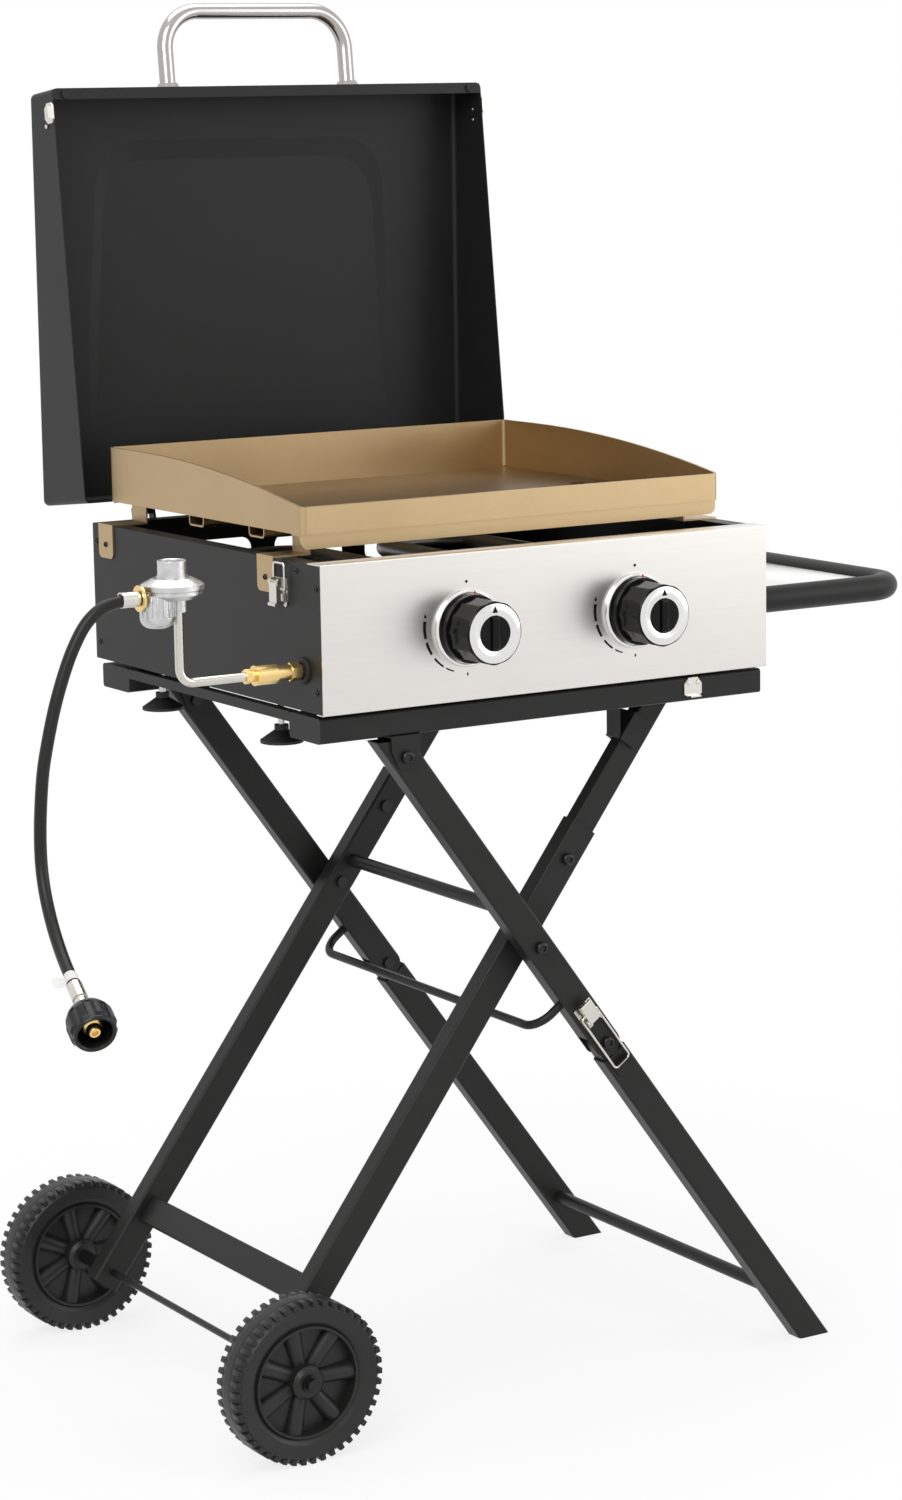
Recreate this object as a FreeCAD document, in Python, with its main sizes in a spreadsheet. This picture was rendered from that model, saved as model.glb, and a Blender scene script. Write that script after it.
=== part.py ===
# Outdoor gas griddle on a folding cart, in millimetres.
# The griddle head is measured from its front left bottom corner: x to the right, y to the back, z up.
# The whole part then stands on the floor, with its origin under the middle of the object.
import FreeCAD, Part
import math
import os
import re
import Sketcher
from contextlib import contextmanager
from types import SimpleNamespace

Vector = FreeCAD.Vector
Rotation = FreeCAD.Rotation
Placement = FreeCAD.Placement

SIZES = {
    # Griddle head
    "case_width": 586.0,
    "case_depth": 540.0,
    "case_height": 160.0,
    "case_lift": 822.0,
    "case_sheet": 1.5,
    "case_flange": 22.0,
    "case_side_flange": 44.0,
    "case_corner": 4.0,
    "panel_sheet": 1.2,
    "panel_flange": 28.0,
    "panel_hem": 14.0,
    "vent_width": 95.0,
    "vent_height": 44.0,
    "vent_pitch": 127.0,
    "vent_top": 128.0,
    "vent_corner": 14.0,
    "pan_gap": 0.3,
    "pan_drop": 5.0,
    "pan_rim": 8.0,
    # Griddle plate and what holds it
    "plate_width": 553.5,
    "plate_depth": 454.0,
    "plate_front": 68.0,
    "plate_lift": 186.0,
    "plate_floor": 5.0,
    "plate_wall": 3.0,
    "plate_back_rise": 63.5,
    "plate_front_rise": 29.8,
    "plate_flat_top": 72.0,
    "plate_corner": 8.0,
    "drain_radius": 9.0,
    "drain_from_right": 47.0,
    "drain_from_front": 222.0,
    "lip_height": 16.5,
    "lip_shelf": 20.0,
    "lip_sheet": 2.0,
    "lip_inset": 2.0,
    "lip_setback": 5.0,
    "lip_corner": 9.0,
    "channel_width": 35.0,
    "channel_height": 12.5,
    "channel_round": 5.0,
    "channel_sheet": 2.0,
    "channel_inset": 6.0,
    "channel_front": 178.0,
    "channel_back": 318.0,
    "tab_width": 36.0,
    "tab_sheet": 2.0,
    "tab_drop": 38.0,
    "tab_round": 7.0,
    "tab_reach": 45.0,
    "tab_front": 117.0,
    "tab_behind": 22.0,
    # Gas train inside the case
    "pipe_radius": 8.0,
    "pipe_y": 40.0,
    "pipe_z": 44.5,
    "pipe_reach": 560.0,
    "gas_hole": 10.0,
    "knob_left": 182.0,
    "knob_right": 404.0,
    "knob_z": 79.0,
    "valve_width": 24.0,
    "valve_front": 28.0,
    "valve_back": 56.0,
    "valve_nose": 10.0,
    "stem_radius": 4.0,
    "stem_inside": 42.0,
    "stem_outside": 40.0,
    "push_travel": 4.0,
    "shaft_fit": 0.06,
    "burner_radius": 11.0,
    "burner_span": 120.0,
    "burner_front": 140.0,
    "burner_behind": 70.0,
    "burner_z": 112.0,
    "burner_post": 4.0,
    # Knobs
    "knob_gap": 11.5,
    "knob_depth": 45.0,
    "knob_skirt": 36.0,
    "knob_flange": 37.7,
    "knob_flange_height": 5.0,
    "knob_across": 35.2,
    "knob_face": 34.7,
    "knob_wall": 4.0,
    "knob_hollow": 18.0,
    "knob_hub": 9.0,
    "knob_centre": 18.8,
    "grip_width": 9.0,
    "grip_height": 4.0,
    "knob_sides": 12,
    # Regulator, hose and bottle nut
    "regulator_x": -155.5,
    "bonnet_radius": 33.5,
    "bonnet_z": 144.5,
    "bonnet_height": 13.0,
    "cap_radius": 15.2,
    "cap_height": 17.0,
    "bowl_radius": 18.5,
    "bowl_shift": 18.5,
    "bowl_low": 106.0,
    "bowl_round": 11.0,
    "boss_low": 121.0,
    "inlet_radius": 5.8,
    "inlet_neck": 0.6,
    "inlet_reach": 40.0,
    "inlet_z": 138.5,
    "inlet_flange": 14.0,
    "outlet_x": -149.5,
    "outlet_radius": 5.0,
    "outlet_bend": 16.0,
    "fitting_start": -73.0,
    "hose_radius": 6.7,
    "crimp_radius": 8.4,
    "crimp_length": 20.0,
    "nipple_radius": 7.0,
    "nipple_length": 54.0,
    "nut_radius": 25.0,
    "nut_height": 36.0,
    "nut_start": 24.0,
    "nut_back": 5.0,
    "nut_bore": 18.0,
    # Lid
    "lid_width": 593.6,
    "lid_front": 54.0,
    "lid_back_height": 118.0,
    "lid_front_height": 62.0,
    "lid_sheet": 1.2,
    "lid_rim": 163.3,
    "lid_corner": 7.0,
    "lid_flange": 13.0,
    "arch_depth": 3.0,
    "arch_corner": 60.0,
    "lid_open_angle": 96.2,
    "lid_pin_out": 11.9,
    "lid_pin_z": 169.5,
    "lid_pin_radius": 3.0,
    "lid_pin_inset": 75.0,
    "knuckle_radius": 6.0,
    "knuckle_width": 19.0,
    "hinge_width": 44.0,
    "handle_radius": 9.6,
    "handle_span": 249.0,
    "handle_left": 166.0,
    "handle_reach": 93.0,
    "handle_bend": 46.0,
    "boss_radius": 15.0,
    "boss_height": 7.0,
    "bumper_radius": 5.0,
    "bumper_height": 2.6,
    # Top frame of the cart
    "rail_depth": 67.0,
    "rail_height": 28.0,
    "rail_wall": 1.5,
    "rail_inset": 1.0,
    "rail_corner": 4.0,
    "rail_front": 10.0,
    "rail_behind": 16.0,
    "bar_height": 11.0,
    "bar_width": 12.0,
    "foot_inset": 30.0,
    "foot_front": 146.0,
    "foot_behind": 111.0,
    "foot_radius": 24.0,
    "foot_height": 20.0,
    "foot_lip": 3.0,
    "foot_neck": 8.0,
    "foot_neck_height": 7.0,
    "foot_nut": 6.5,
    "foot_stem": 4.0,
    "foot_drop": 31.0,
    # Folding legs: angles below level, lengths along the leg from its top bolt
    "pivot_x": 108.0,
    "pivot_drop": 57.0,
    "leg_angle": 53.9,
    "leg_width": 35.0,
    "leg_depth": 25.0,
    "leg_wall": 2.0,
    "leg_corner": 3.0,
    "leg_gap": 17.0,
    "leg_front": 12.0,
    "leg_back": 19.0,
    "outer_top": 18.0,
    "cross_along": 292.0,
    "fold_along": 443.0,
    "fold_gap": 0.5,
    "bolt_radius": 4.0,
    "bolt_head": 7.0,
    "bolt_head_height": 4.0,
    "side_gap": 0.3,
    "ear_sheet": 2.5,
    "ear_width": 37.0,
    "ear_drop": 37.0,
    "axle_x": -46.0,
    "axle_radius": 4.0,
    "inner_top": 36.3,
    "sleeve_above": 151.0,
    "sleeve_overlap": 60.0,
    "sleeve_bolt": 108.0,
    "sleeve_play": 0.25,
    "round_bar_radius": 8.0,
    "round_bar_above": 30.0,
    "flat_bar_below": 459.0,
    "flat_bar_width": 34.0,
    "flat_bar_depth": 12.0,
    "foot_bar_above": 74.8,
    "foot_bar_radius": 8.0,
    "stay_radius": 5.0,
    "stay_along": 371.0,
    "stay_out": 38.0,
    "stay_bend": 26.0,
    "clip_sheet": 2.0,
    "clip_high": 293.0,
    "clip_low": 257.0,
    # Wheels
    "wheel_radius": 92.5,
    "wheel_width": 45.0,
    "wheel_shoulder": 5.0,
    "wheel_rim": 60.0,
    "wheel_lip": 3.0,
    "wheel_web": 8.0,
    "wheel_gap_front": 27.5,
    "wheel_gap_back": 52.5,
    "hub_radius": 20.0,
    "spoke_count": 7,
    "spoke_radius": 12.0,
    "spoke_hub_radius": 9.0,
    # Toggle latches
    "latch_width": 26.0,
    "latch_height": 26.0,
    "latch_sheet": 1.6,
    "latch_y": 82.0,
    "latch_pin_z": 136.5,
    "latch_pin_out": 8.0,
    "latch_pin_radius": 2.0,
    "latch_ear": 4.5,
    "lever_length": 24.0,
    "lever_half": 8.0,
    "lever_top": 4.6,
    "bail_wire": 1.3,
    "bail_out": 4.4,
    "bail_back": 8.0,
    "bail_half": 11.6,
    "bail_short": 28.5,
    "bail_long": 78.0,
    "leg_latch_along": 404.0,
    "keeper_width": 24.0,
    "keeper_height": 22.0,
    "keeper_lip": 8.0,
    # Side shelf with its push handle
    "shelf_reach": 258.0,
    "shelf_z": 62.5,
    "shelf_tube": 15.5,
    "shelf_front": 79.0,
    "shelf_bend": 45.0,
    "shelf_sheet": 1.5,
    "shelf_rim": 12.0,
    "shelf_start": 23.0,
    "socket_plate": 2.0,
    "socket_side": 50.0,
    "socket_length": 20.0,
    "socket_wall": 3.0,
    # Middle of the object from front to back
    "middle_y": 302.0,
}

doc = FreeCAD.newDocument("griddle_cart")
sheet = doc.addObject("Spreadsheet::Sheet", "sizes")
for line, (name, value) in enumerate(SIZES.items(), 1):
    sheet.set(f"A{line}", name.replace("_", " "))
    sheet.set(f"B{line}", str(value))
    sheet.setAlias(f"B{line}", name)
doc.recompute()
s = SimpleNamespace(**{name: float(sheet.get(name)) for name in SIZES})

REACH_LEFT = s.regulator_x - s.inlet_reach
REACH_RIGHT = s.case_width + s.shelf_reach + s.shelf_tube
HOME = Placement(Vector(-(REACH_LEFT + REACH_RIGHT) / 2, -s.middle_y, s.case_lift), Rotation())
work = SimpleNamespace(place=HOME)
nodes = {}

X, Y, Z = Vector(1, 0, 0), Vector(0, 1, 0), Vector(0, 0, 1)
ALONG_X = Rotation(Y, 90)
ALONG_Y = Rotation(X, -90)
TO_FRONT = Rotation(X, 90)


@contextmanager
def working_at(origin=None, turn=None):
    """Pieces made inside are placed from this origin, measured from the head's corner."""
    before = work.place
    work.place = HOME.multiply(Placement(origin or Vector(), turn or Rotation()))
    yield
    work.place = before


def axes(x, y, z):
    """The rotation that carries the three axes onto the given directions."""
    return Rotation(FreeCAD.Matrix(x.x, y.x, z.x, 0, x.y, y.y, z.y, 0, x.z, y.z, z.z, 0, 0, 0, 0, 1))


def bind(thing, prop, text):
    """Ties a property to an expression in which every size is named in plain words."""
    thing.setExpression(prop, re.sub(r"\b([a-z]+_[a-z_]+)\b", r"sizes.\1", str(text)))


def place(thing, at=None, turn=None):
    thing.Placement = work.place.multiply(Placement(at or Vector(), turn or Rotation()))
    return thing


def node(label, thing):
    """Keeps a finished piece under its own name."""
    thing.Label = label
    nodes[label] = thing
    return thing


def box(length, width, height, at, turn=None):
    thing = doc.addObject("Part::Box", "box")
    bind(thing, "Length", length)
    bind(thing, "Width", width)
    bind(thing, "Height", height)
    return place(thing, at, turn)


def cylinder(radius, height, at, turn=None):
    thing = doc.addObject("Part::Cylinder", "cylinder")
    bind(thing, "Radius", radius)
    bind(thing, "Height", height)
    return place(thing, at, turn)


def cone(low, high, height, at, turn=None):
    thing = doc.addObject("Part::Cone", "cone")
    bind(thing, "Radius1", low)
    bind(thing, "Radius2", high)
    bind(thing, "Height", height)
    return place(thing, at, turn)


def prism(corner_radius, height, at, turn=None, sides=6):
    """A straight prism, given by the circle through its corners."""
    thing = doc.addObject("Part::Prism", "prism")
    thing.Polygon = sides
    bind(thing, "Circumradius", corner_radius)
    bind(thing, "Height", height)
    return place(thing, at, turn)


def fuse(*things):
    thing = doc.addObject("Part::MultiFuse", "fuse")
    thing.Shapes = list(things)
    thing.Refine = True
    return thing


def cut(base, *tools):
    for tool in tools:
        thing = doc.addObject("Part::Cut", "cut")
        thing.Base = base
        thing.Tool = tool
        base = thing
    return base


def common(base, tool):
    thing = doc.addObject("Part::Common", "common")
    thing.Base = base
    thing.Tool = tool
    return thing


def group(*things):
    thing = doc.addObject("Part::Compound", "group")
    thing.Links = list(things)
    return thing


def feature(shape):
    thing = doc.addObject("Part::Feature", "shape")
    thing.Shape = shape
    return place(thing)


def new_body(at=None, turn=None):
    return place(doc.addObject("PartDesign::Body", "body"), at, turn)


def sketch(body, plane, loops, offset=None):
    """Closed loops of straight lines, or circles, with every point tied to the sheet."""
    origin = [item for item in body.Origin.OriginFeatures if item.Role == plane][0]
    drawing = body.newObject("Sketcher::SketchObject", "sketch")
    drawing.AttachmentSupport = (origin, "")
    drawing.MapMode = "FlatFace"
    if offset:
        bind(drawing, ".AttachmentOffset.Base.z", offset)
    for loop in loops:
        first = drawing.GeometryCount
        if loop[0] == "circle":
            drawing.addGeometry(Part.Circle(Vector(1, 1, 0), Z, 5), False)
            for kind, text in (("DistanceX", loop[1]), ("DistanceY", loop[2])):
                number = drawing.addConstraint(Sketcher.Constraint(kind, -1, 1, first, 3, 1.0))
                bind(drawing, f"Constraints[{number}]", text)
            number = drawing.addConstraint(Sketcher.Constraint("Radius", first, 5.0))
            bind(drawing, f"Constraints[{number}]", loop[3])
            continue
        count = len(loop)
        turns = [2 * math.pi * i / count for i in range(count)]
        ring = [Vector(30 * math.cos(turn), 30 * math.sin(turn), 0) for turn in turns]
        for i in range(count):
            drawing.addGeometry(Part.LineSegment(ring[i], ring[(i + 1) % count]), False)
        for i in range(count):
            follower = first + (i + 1) % count
            drawing.addConstraint(Sketcher.Constraint("Coincident", first + i, 2, follower, 1))
            for kind, text, value in (("DistanceX", loop[i][0], ring[i].x),
                                      ("DistanceY", loop[i][1], ring[i].y)):
                number = drawing.addConstraint(Sketcher.Constraint(kind, -1, 1, first + i, 1, value))
                bind(drawing, f"Constraints[{number}]", text)
    return drawing


def pad(body, plane, loops, length, middle=False, back=False, offset=None, kind="Pad"):
    drawing = sketch(body, plane, loops, offset)
    thing = body.newObject("PartDesign::" + kind, kind.lower())
    thing.Profile = drawing
    bind(thing, "Length", length)
    thing.Midplane = middle
    thing.Reversed = back
    doc.recompute()
    return thing


def pocket(body, plane, loops, length, middle=True, back=False, offset=None):
    before = body.Shape.Volume
    thing = pad(body, plane, loops, length, middle, back, offset, "Pocket")
    assert body.Shape.Volume < before - 0.01, "a pocket cut nothing"
    return thing


def turned(body, loops):
    """Turns loops drawn as (radius, height) round the body's own upright axis."""
    drawing = sketch(body, "XZ_Plane", loops)
    thing = body.newObject("PartDesign::Revolution", "turned")
    thing.Profile = drawing
    thing.ReferenceAxis = (drawing, ["V_Axis"])
    thing.Angle = 360
    doc.recompute()
    return thing


def rounded(body, radius, wanted):
    """Rounds the edges of the body's last feature for which wanted(edge) is true."""
    last = body.Tip
    # The feature's shape is measured in the body's own axes.
    names = [f"Edge{i + 1}" for i, edge in enumerate(last.Shape.Edges) if wanted(edge)]
    assert names, "no edge to round"
    thing = body.newObject("PartDesign::Fillet", "rounding")
    thing.Base = (last, names)
    bind(thing, "Radius", radius)
    doc.recompute()
    return thing


def runs_along(edge, axis):
    return edge.Curve.TypeId == "Part::GeomLine" and abs(edge.Curve.Direction.dot(axis)) > 0.999


def middle_of(edge):
    return edge.valueAt((edge.FirstParameter + edge.LastParameter) / 2)


def rectangle(left, low, right, high):
    return [(left, low), (right, low), (right, high), (left, high)]


def bent_path(points, bends):
    """Straight runs joined by tangent arcs; bends has one radius for each inner point."""
    edges = []
    start = points[0]
    for before, corner, after, radius in zip(points, points[1:], points[2:], bends):
        come = (corner - before).normalize()
        leave = (after - corner).normalize()
        half_turn = come.getAngle(leave) / 2
        trim = radius * math.tan(half_turn)
        first = corner - come * trim
        last = corner + leave * trim
        middle = corner + (leave - come).normalize() * (radius / math.cos(half_turn) - radius)
        edges.append(Part.makeLine(start, first))
        edges.append(Part.Arc(first, middle, last).toShape())
        start = last
    edges.append(Part.makeLine(start, points[-1]))
    return Part.Wire(edges)


def bent_tube(points, bends, radius, bore=0.0):
    """A round tube along the bent path, or a rod where there is no bore."""
    path = bent_path(points, bends)
    heading = (points[1] - points[0]).normalize()
    solids = []
    for size in [radius] + ([bore] if bore else []):
        ring = Part.Wire([Part.makeCircle(size, points[0], heading)])
        solids.append(path.makePipeShell([ring], True, False))
    return solids[0].cut(solids[1]) if bore else solids[0]


# Case: left, back and right walls bent from one sheet, flanged inwards at the top and the bottom.
def make_case():
    body = new_body()
    outline = rectangle("0", "panel_sheet", "case_width", "case_depth")
    pad(body, "XY_Plane", [outline], "case_height")
    rounded(body, "case_corner", lambda e: runs_along(e, Z) and middle_of(e).y > s.case_depth - 1)
    inside = rectangle("case_sheet", "-1", "case_width - case_sheet", "case_depth - case_sheet")
    pocket(body, "XY_Plane", [inside], "case_height - 2 * case_sheet", False, True, "case_sheet")
    above = rectangle("case_flange", "-1", "case_width - case_flange", "case_depth - case_flange")
    pocket(body, "XY_Plane", [above], "10", False, False, "case_height + 1")
    below = rectangle("case_side_flange", "case_flange", "case_width - case_side_flange",
                      "case_depth - case_flange")
    pocket(body, "XY_Plane", [below], "10", False, True, "-1")
    vents = []
    for step in (-1, 0, 1):
        middle = f"case_width / 2 + {step} * vent_pitch"
        vents.append(rectangle(f"{middle} - vent_width / 2", "vent_top - vent_height",
                               f"{middle} + vent_width / 2", "vent_top"))
    pocket(body, "XZ_Plane", vents, "20", True, False, "-case_depth")
    rounded(body, "vent_corner",
            lambda e: runs_along(e, Y) and e.Length < 3 and middle_of(e).y > s.case_depth - 3
            and s.vent_top - s.vent_height - 1 < middle_of(e).z < s.vent_top + 1)
    pocket(body, "YZ_Plane", [("circle", "pipe_y", "pipe_z", "gas_hole")], "10")
    foot_holes = [("circle", x, y, "foot_stem + shaft_fit")
                  for x in ("foot_inset", "case_width - foot_inset")
                  for y in ("foot_front", "case_depth - foot_behind")]
    pocket(body, "XY_Plane", foot_holes, "10")
    node("case_shell", body)


# Control panel: stainless sheet turned over the case's top and under its bottom.
def make_panel():
    body = new_body()
    side = [("0", "-panel_sheet"), ("panel_hem", "-panel_sheet"), ("panel_hem", "0"), ("panel_sheet", "0"),
            ("panel_sheet", "case_height"), ("panel_flange", "case_height"),
            ("panel_flange", "case_height + panel_sheet"), ("0", "case_height + panel_sheet")]
    pad(body, "YZ_Plane", [side], "case_width")
    rounded(body, "1", lambda e: runs_along(e, X) and middle_of(e).y < 0.01)
    holes = [("circle", x, "knob_z", "stem_radius + 2") for x in ("knob_left", "knob_right")]
    pocket(body, "XZ_Plane", holes, "10")
    node("control_panel", body)


# Bottom pan: a shallow drawn tray that hangs in the case's lower opening and rests on the rails.
def make_pan():
    body = new_body()
    rim = rectangle("case_side_flange - pan_rim", "case_flange - pan_rim",
                    "case_width - case_side_flange + pan_rim", "case_depth - case_flange + pan_rim")
    pad(body, "XY_Plane", [rim], "case_sheet", False, False, "case_sheet")
    wall = rectangle("case_side_flange + pan_gap", "case_flange + pan_gap",
                     "case_width - case_side_flange - pan_gap", "case_depth - case_flange - pan_gap")
    pad(body, "XY_Plane", [wall], "pan_drop + 2 * case_sheet", False, False, "-pan_drop")
    inside = rectangle("case_side_flange + pan_gap + case_sheet", "case_flange + pan_gap + case_sheet",
                       "case_width - case_side_flange - pan_gap - case_sheet",
                       "case_depth - case_flange - pan_gap - case_sheet")
    pocket(body, "XY_Plane", [inside], "40", False, True, "case_sheet - pan_drop")
    node("bottom_pan", body)


# Gas pipe with one valve block behind each knob, and the two burners that they feed.
def make_gas_inside():
    parts = [cylinder("pipe_radius", "pipe_reach + 2", Vector(-2, s.pipe_y, s.pipe_z), ALONG_X)]
    bores = []
    burners = []
    for knob_x in (s.knob_left, s.knob_right):
        parts.append(box("valve_width", "valve_back - valve_front", "knob_z - pipe_z + 20",
                         Vector(knob_x - s.valve_width / 2, s.valve_front, s.pipe_z - 8)))
        parts.append(cylinder("valve_nose", "valve_front - panel_sheet + 1",
                              Vector(knob_x, s.panel_sheet, s.knob_z), ALONG_Y))
        bores.append(cylinder("stem_radius + shaft_fit", "stem_inside + push_travel + 2",
                              Vector(knob_x, 0, s.knob_z), ALONG_Y))
        left, right = knob_x - s.burner_span / 2, knob_x + s.burner_span / 2
        z = s.burner_z
        feed = bent_tube([Vector(knob_x, s.valve_back, s.knob_z), Vector(knob_x, 85, s.knob_z),
                          Vector(knob_x, 112, z), Vector(knob_x, s.burner_front, z)],
                         [14, 14], s.burner_radius - 3)
        loop = bent_tube([Vector(left, s.burner_front, z), Vector(left, s.case_depth - s.burner_behind, z),
                          Vector(right, s.case_depth - s.burner_behind, z), Vector(right, s.burner_front, z)],
                         [40, 40], s.burner_radius)
        pieces = [feature(feed), feature(loop),
                  cylinder("burner_radius", "burner_span", Vector(left, s.burner_front, z), ALONG_X)]
        for x in (left, right):
            for y in (s.burner_front + 60, s.case_depth - s.burner_behind - 50):
                pieces.append(cylinder("burner_post", "burner_z + pan_drop - case_sheet",
                                       Vector(x, y, s.case_sheet - s.pan_drop)))
        burners.append(fuse(*pieces))
    node("gas_manifold", cut(fuse(*parts), *bores))
    node("burners", group(*burners))


# Griddle plate: welded tray whose side walls sweep down from the back to the low front wall.
def make_plate():
    left = "(case_width - plate_width) / 2"
    body = new_body()
    outline = rectangle(left, "plate_front", f"{left} + plate_width", "plate_front + plate_depth")
    pad(body, "XY_Plane", [outline], "plate_back_rise", False, False, "plate_lift")
    rounded(body, "plate_corner", lambda e: runs_along(e, Z))
    inside = rectangle(f"{left} + plate_wall", "plate_front + plate_wall",
                       f"{left} + plate_width - plate_wall", "plate_front + plate_depth - plate_wall")
    pocket(body, "XY_Plane", [inside], "plate_back_rise", False, True, "plate_lift + plate_floor")
    rounded(body, "plate_corner - plate_wall", lambda e: runs_along(e, Z)
            and s.plate_front + 1 < middle_of(e).y < s.plate_front + s.plate_depth - 1
            and middle_of(e).x > s.case_width / 2 - s.plate_width / 2 + s.plate_wall - 0.1
            and middle_of(e).x < s.case_width / 2 + s.plate_width / 2 - s.plate_wall + 0.1)
    drain_x = f"{left} + plate_width - drain_from_right"
    pocket(body, "XY_Plane", [("circle", drain_x, "plate_front + drain_from_front", "drain_radius")],
           "2 * plate_lift + 20")
    sweep = s.plate_depth - s.plate_flat_top
    fall = s.plate_back_rise - s.plate_front_rise
    radius = (sweep * sweep + fall * fall) / (2 * fall)
    flat_start = s.plate_front + sweep
    top = s.plate_lift + s.plate_back_rise
    round_top = cylinder(radius, "case_width", Vector(0, flat_start, top - radius), ALONG_X)
    flat_top = box("case_width", "plate_flat_top + 1", "plate_back_rise",
                   Vector(0, flat_start, s.plate_lift))
    node("griddle_plate", common(body, fuse(round_top, flat_top)))

    lip = new_body()
    low, high = "plate_lift - lip_height", "plate_lift"
    front = "plate_front + lip_setback"
    angle = [(front, low), (f"{front} + lip_sheet", low), (f"{front} + lip_sheet", f"{high} - lip_sheet"),
             (f"{front} + lip_shelf", f"{high} - lip_sheet"), (f"{front} + lip_shelf", high), (front, high)]
    pad(lip, "YZ_Plane", [angle], "plate_width - 2 * lip_inset", False, False, f"{left} + lip_inset")
    rounded(lip, "lip_corner",
            lambda e: runs_along(e, Y) and middle_of(e).z < s.plate_lift - s.lip_height + 0.1)
    node("grease_lip", lip)

    channels = []
    for middle in ("channel_front", "channel_back"):
        channel = new_body()
        half = "channel_width / 2"
        foot = "plate_lift - channel_height"
        length = "plate_width - 2 * channel_inset"
        outside = rectangle(f"{middle} - {half}", foot, f"{middle} + {half}", "plate_lift")
        pad(channel, "YZ_Plane", [outside], length, False, False, f"{left} + channel_inset")
        rounded(channel, "channel_round", lambda e: runs_along(e, X) and middle_of(e).z < s.plate_lift - 1)
        inside = rectangle(f"{middle} - {half} + channel_sheet", f"{foot} + channel_sheet",
                           f"{middle} + {half} - channel_sheet", "plate_lift + 1")
        pocket(channel, "YZ_Plane", [inside], "3 * case_width")
        rounded(channel, "channel_round - channel_sheet", lambda e: runs_along(e, X)
                and abs(middle_of(e).z - s.plate_lift + s.channel_height - s.channel_sheet) < 0.1)
        channels.append(channel)
    node("plate_stiffeners", group(*channels))


# Cranked brackets that hook over the case's side walls and carry the plate.
def make_plate_brackets():
    brackets = []
    for side in ("left", "right"):
        for middle in ("tab_front", "(plate_front + plate_depth - tab_behind)"):
            body = new_body()
            steps = [("-tab_sheet", "plate_lift - 26 - tab_drop"), ("0", "plate_lift - 26 - tab_drop"),
                     ("0", "case_height"), ("tab_reach", "case_height"), ("tab_reach", "plate_lift"),
                     ("tab_reach - tab_sheet", "plate_lift"),
                     ("tab_reach - tab_sheet", "case_height + tab_sheet"),
                     ("-tab_sheet", "case_height + tab_sheet")]
            if side == "right":
                steps = [(f"case_width - ({x})", z) for x, z in steps]
            pad(body, "XZ_Plane", [steps], "tab_width", True, False, f"-{middle}")
            rounded(body, "tab_round", lambda e: runs_along(e, X) and middle_of(e).z < s.case_height - 5)
            brackets.append(body)
    node("plate_brackets", group(*brackets))


# Toggle latch, drawn from its pin: x across, y out of the surface, z towards the keeper.
def latch_base(foot):
    sheet_thick, out = s.latch_sheet, s.latch_pin_out
    plate = box("latch_width", "latch_sheet", "latch_height", Vector(-s.latch_width / 2, -out, -foot))
    pieces = [plate, cylinder("latch_pin_radius", "2 * lever_half + 2 * latch_sheet + 0.8",
                              Vector(-s.lever_half - sheet_thick - 0.4, 0, 0), ALONG_X)]
    for start in (-s.lever_half - sheet_thick - 0.4, s.lever_half + 0.4):
        pieces.append(box("latch_sheet", "latch_pin_out", "2 * latch_ear", Vector(start, -out, -s.latch_ear)))
        pieces.append(cylinder("latch_ear", "latch_sheet", Vector(start, 0, 0), ALONG_X))
    return fuse(*pieces)


def latch_lever():
    thick, length = s.latch_sheet, s.lever_length
    half, top = s.lever_half, s.lever_top
    pieces = [box("2 * lever_half", "latch_sheet", "lever_length", Vector(-half, top - thick, -length))]
    for start in (-half, half - thick):
        pieces.append(cylinder("lever_top", "latch_sheet", Vector(start, 0, 0), ALONG_X))
        pieces.append(box("latch_sheet", "lever_top + 5.4", "bail_back + 4",
                          Vector(start, -5.4, -s.bail_back - 4)))
        pieces.append(box("latch_sheet", "lever_top + 1", "lever_length", Vector(start, -1, -length)))
    pieces.append(cylinder("2.2", "2 * lever_half", Vector(-half, top, -length), ALONG_X))
    body = fuse(*pieces)
    pin = cylinder("latch_pin_radius + shaft_fit", "30", Vector(-15, 0, 0), ALONG_X)
    eye = cylinder("bail_wire + shaft_fit", "30",
                   Vector(-15, s.bail_out - s.latch_pin_out, -s.bail_back), ALONG_X)
    return cut(body, pin, eye)


def latch_bail(length):
    half, y, low = s.bail_half, s.bail_out - s.latch_pin_out, -s.bail_back
    inner = s.lever_half - s.latch_sheet - 0.6
    points = [Vector(-inner, y, low), Vector(-half, y, low), Vector(-half, y, low + length),
              Vector(half, y, low + length), Vector(half, y, low), Vector(inner, y, low)]
    return feature(bent_tube(points, [2.2, 4, 4, 2.2], s.bail_wire))


def keeper_plate():
    """A riveted plate with its lip turned out at the end that faces the latch."""
    body = new_body()
    half, high = "keeper_width / 2", "keeper_height"
    outline = [(f"-{half}", "3"), (f"-{half} + 5", "0"), (f"{half} - 5", "0"), (half, "3"),
               (half, f"{high} - 7"),
               (f"{half} - 6", high), (f"-{half} + 6", high), (f"-{half}", f"{high} - 7")]
    pad(body, "XZ_Plane", [outline], "latch_sheet", False, True)
    lip = rectangle(f"-{half} + 5", "0", f"{half} - 5", "latch_sheet")
    pad(body, "XZ_Plane", [lip], "keeper_lip", False, True)
    return body


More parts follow.
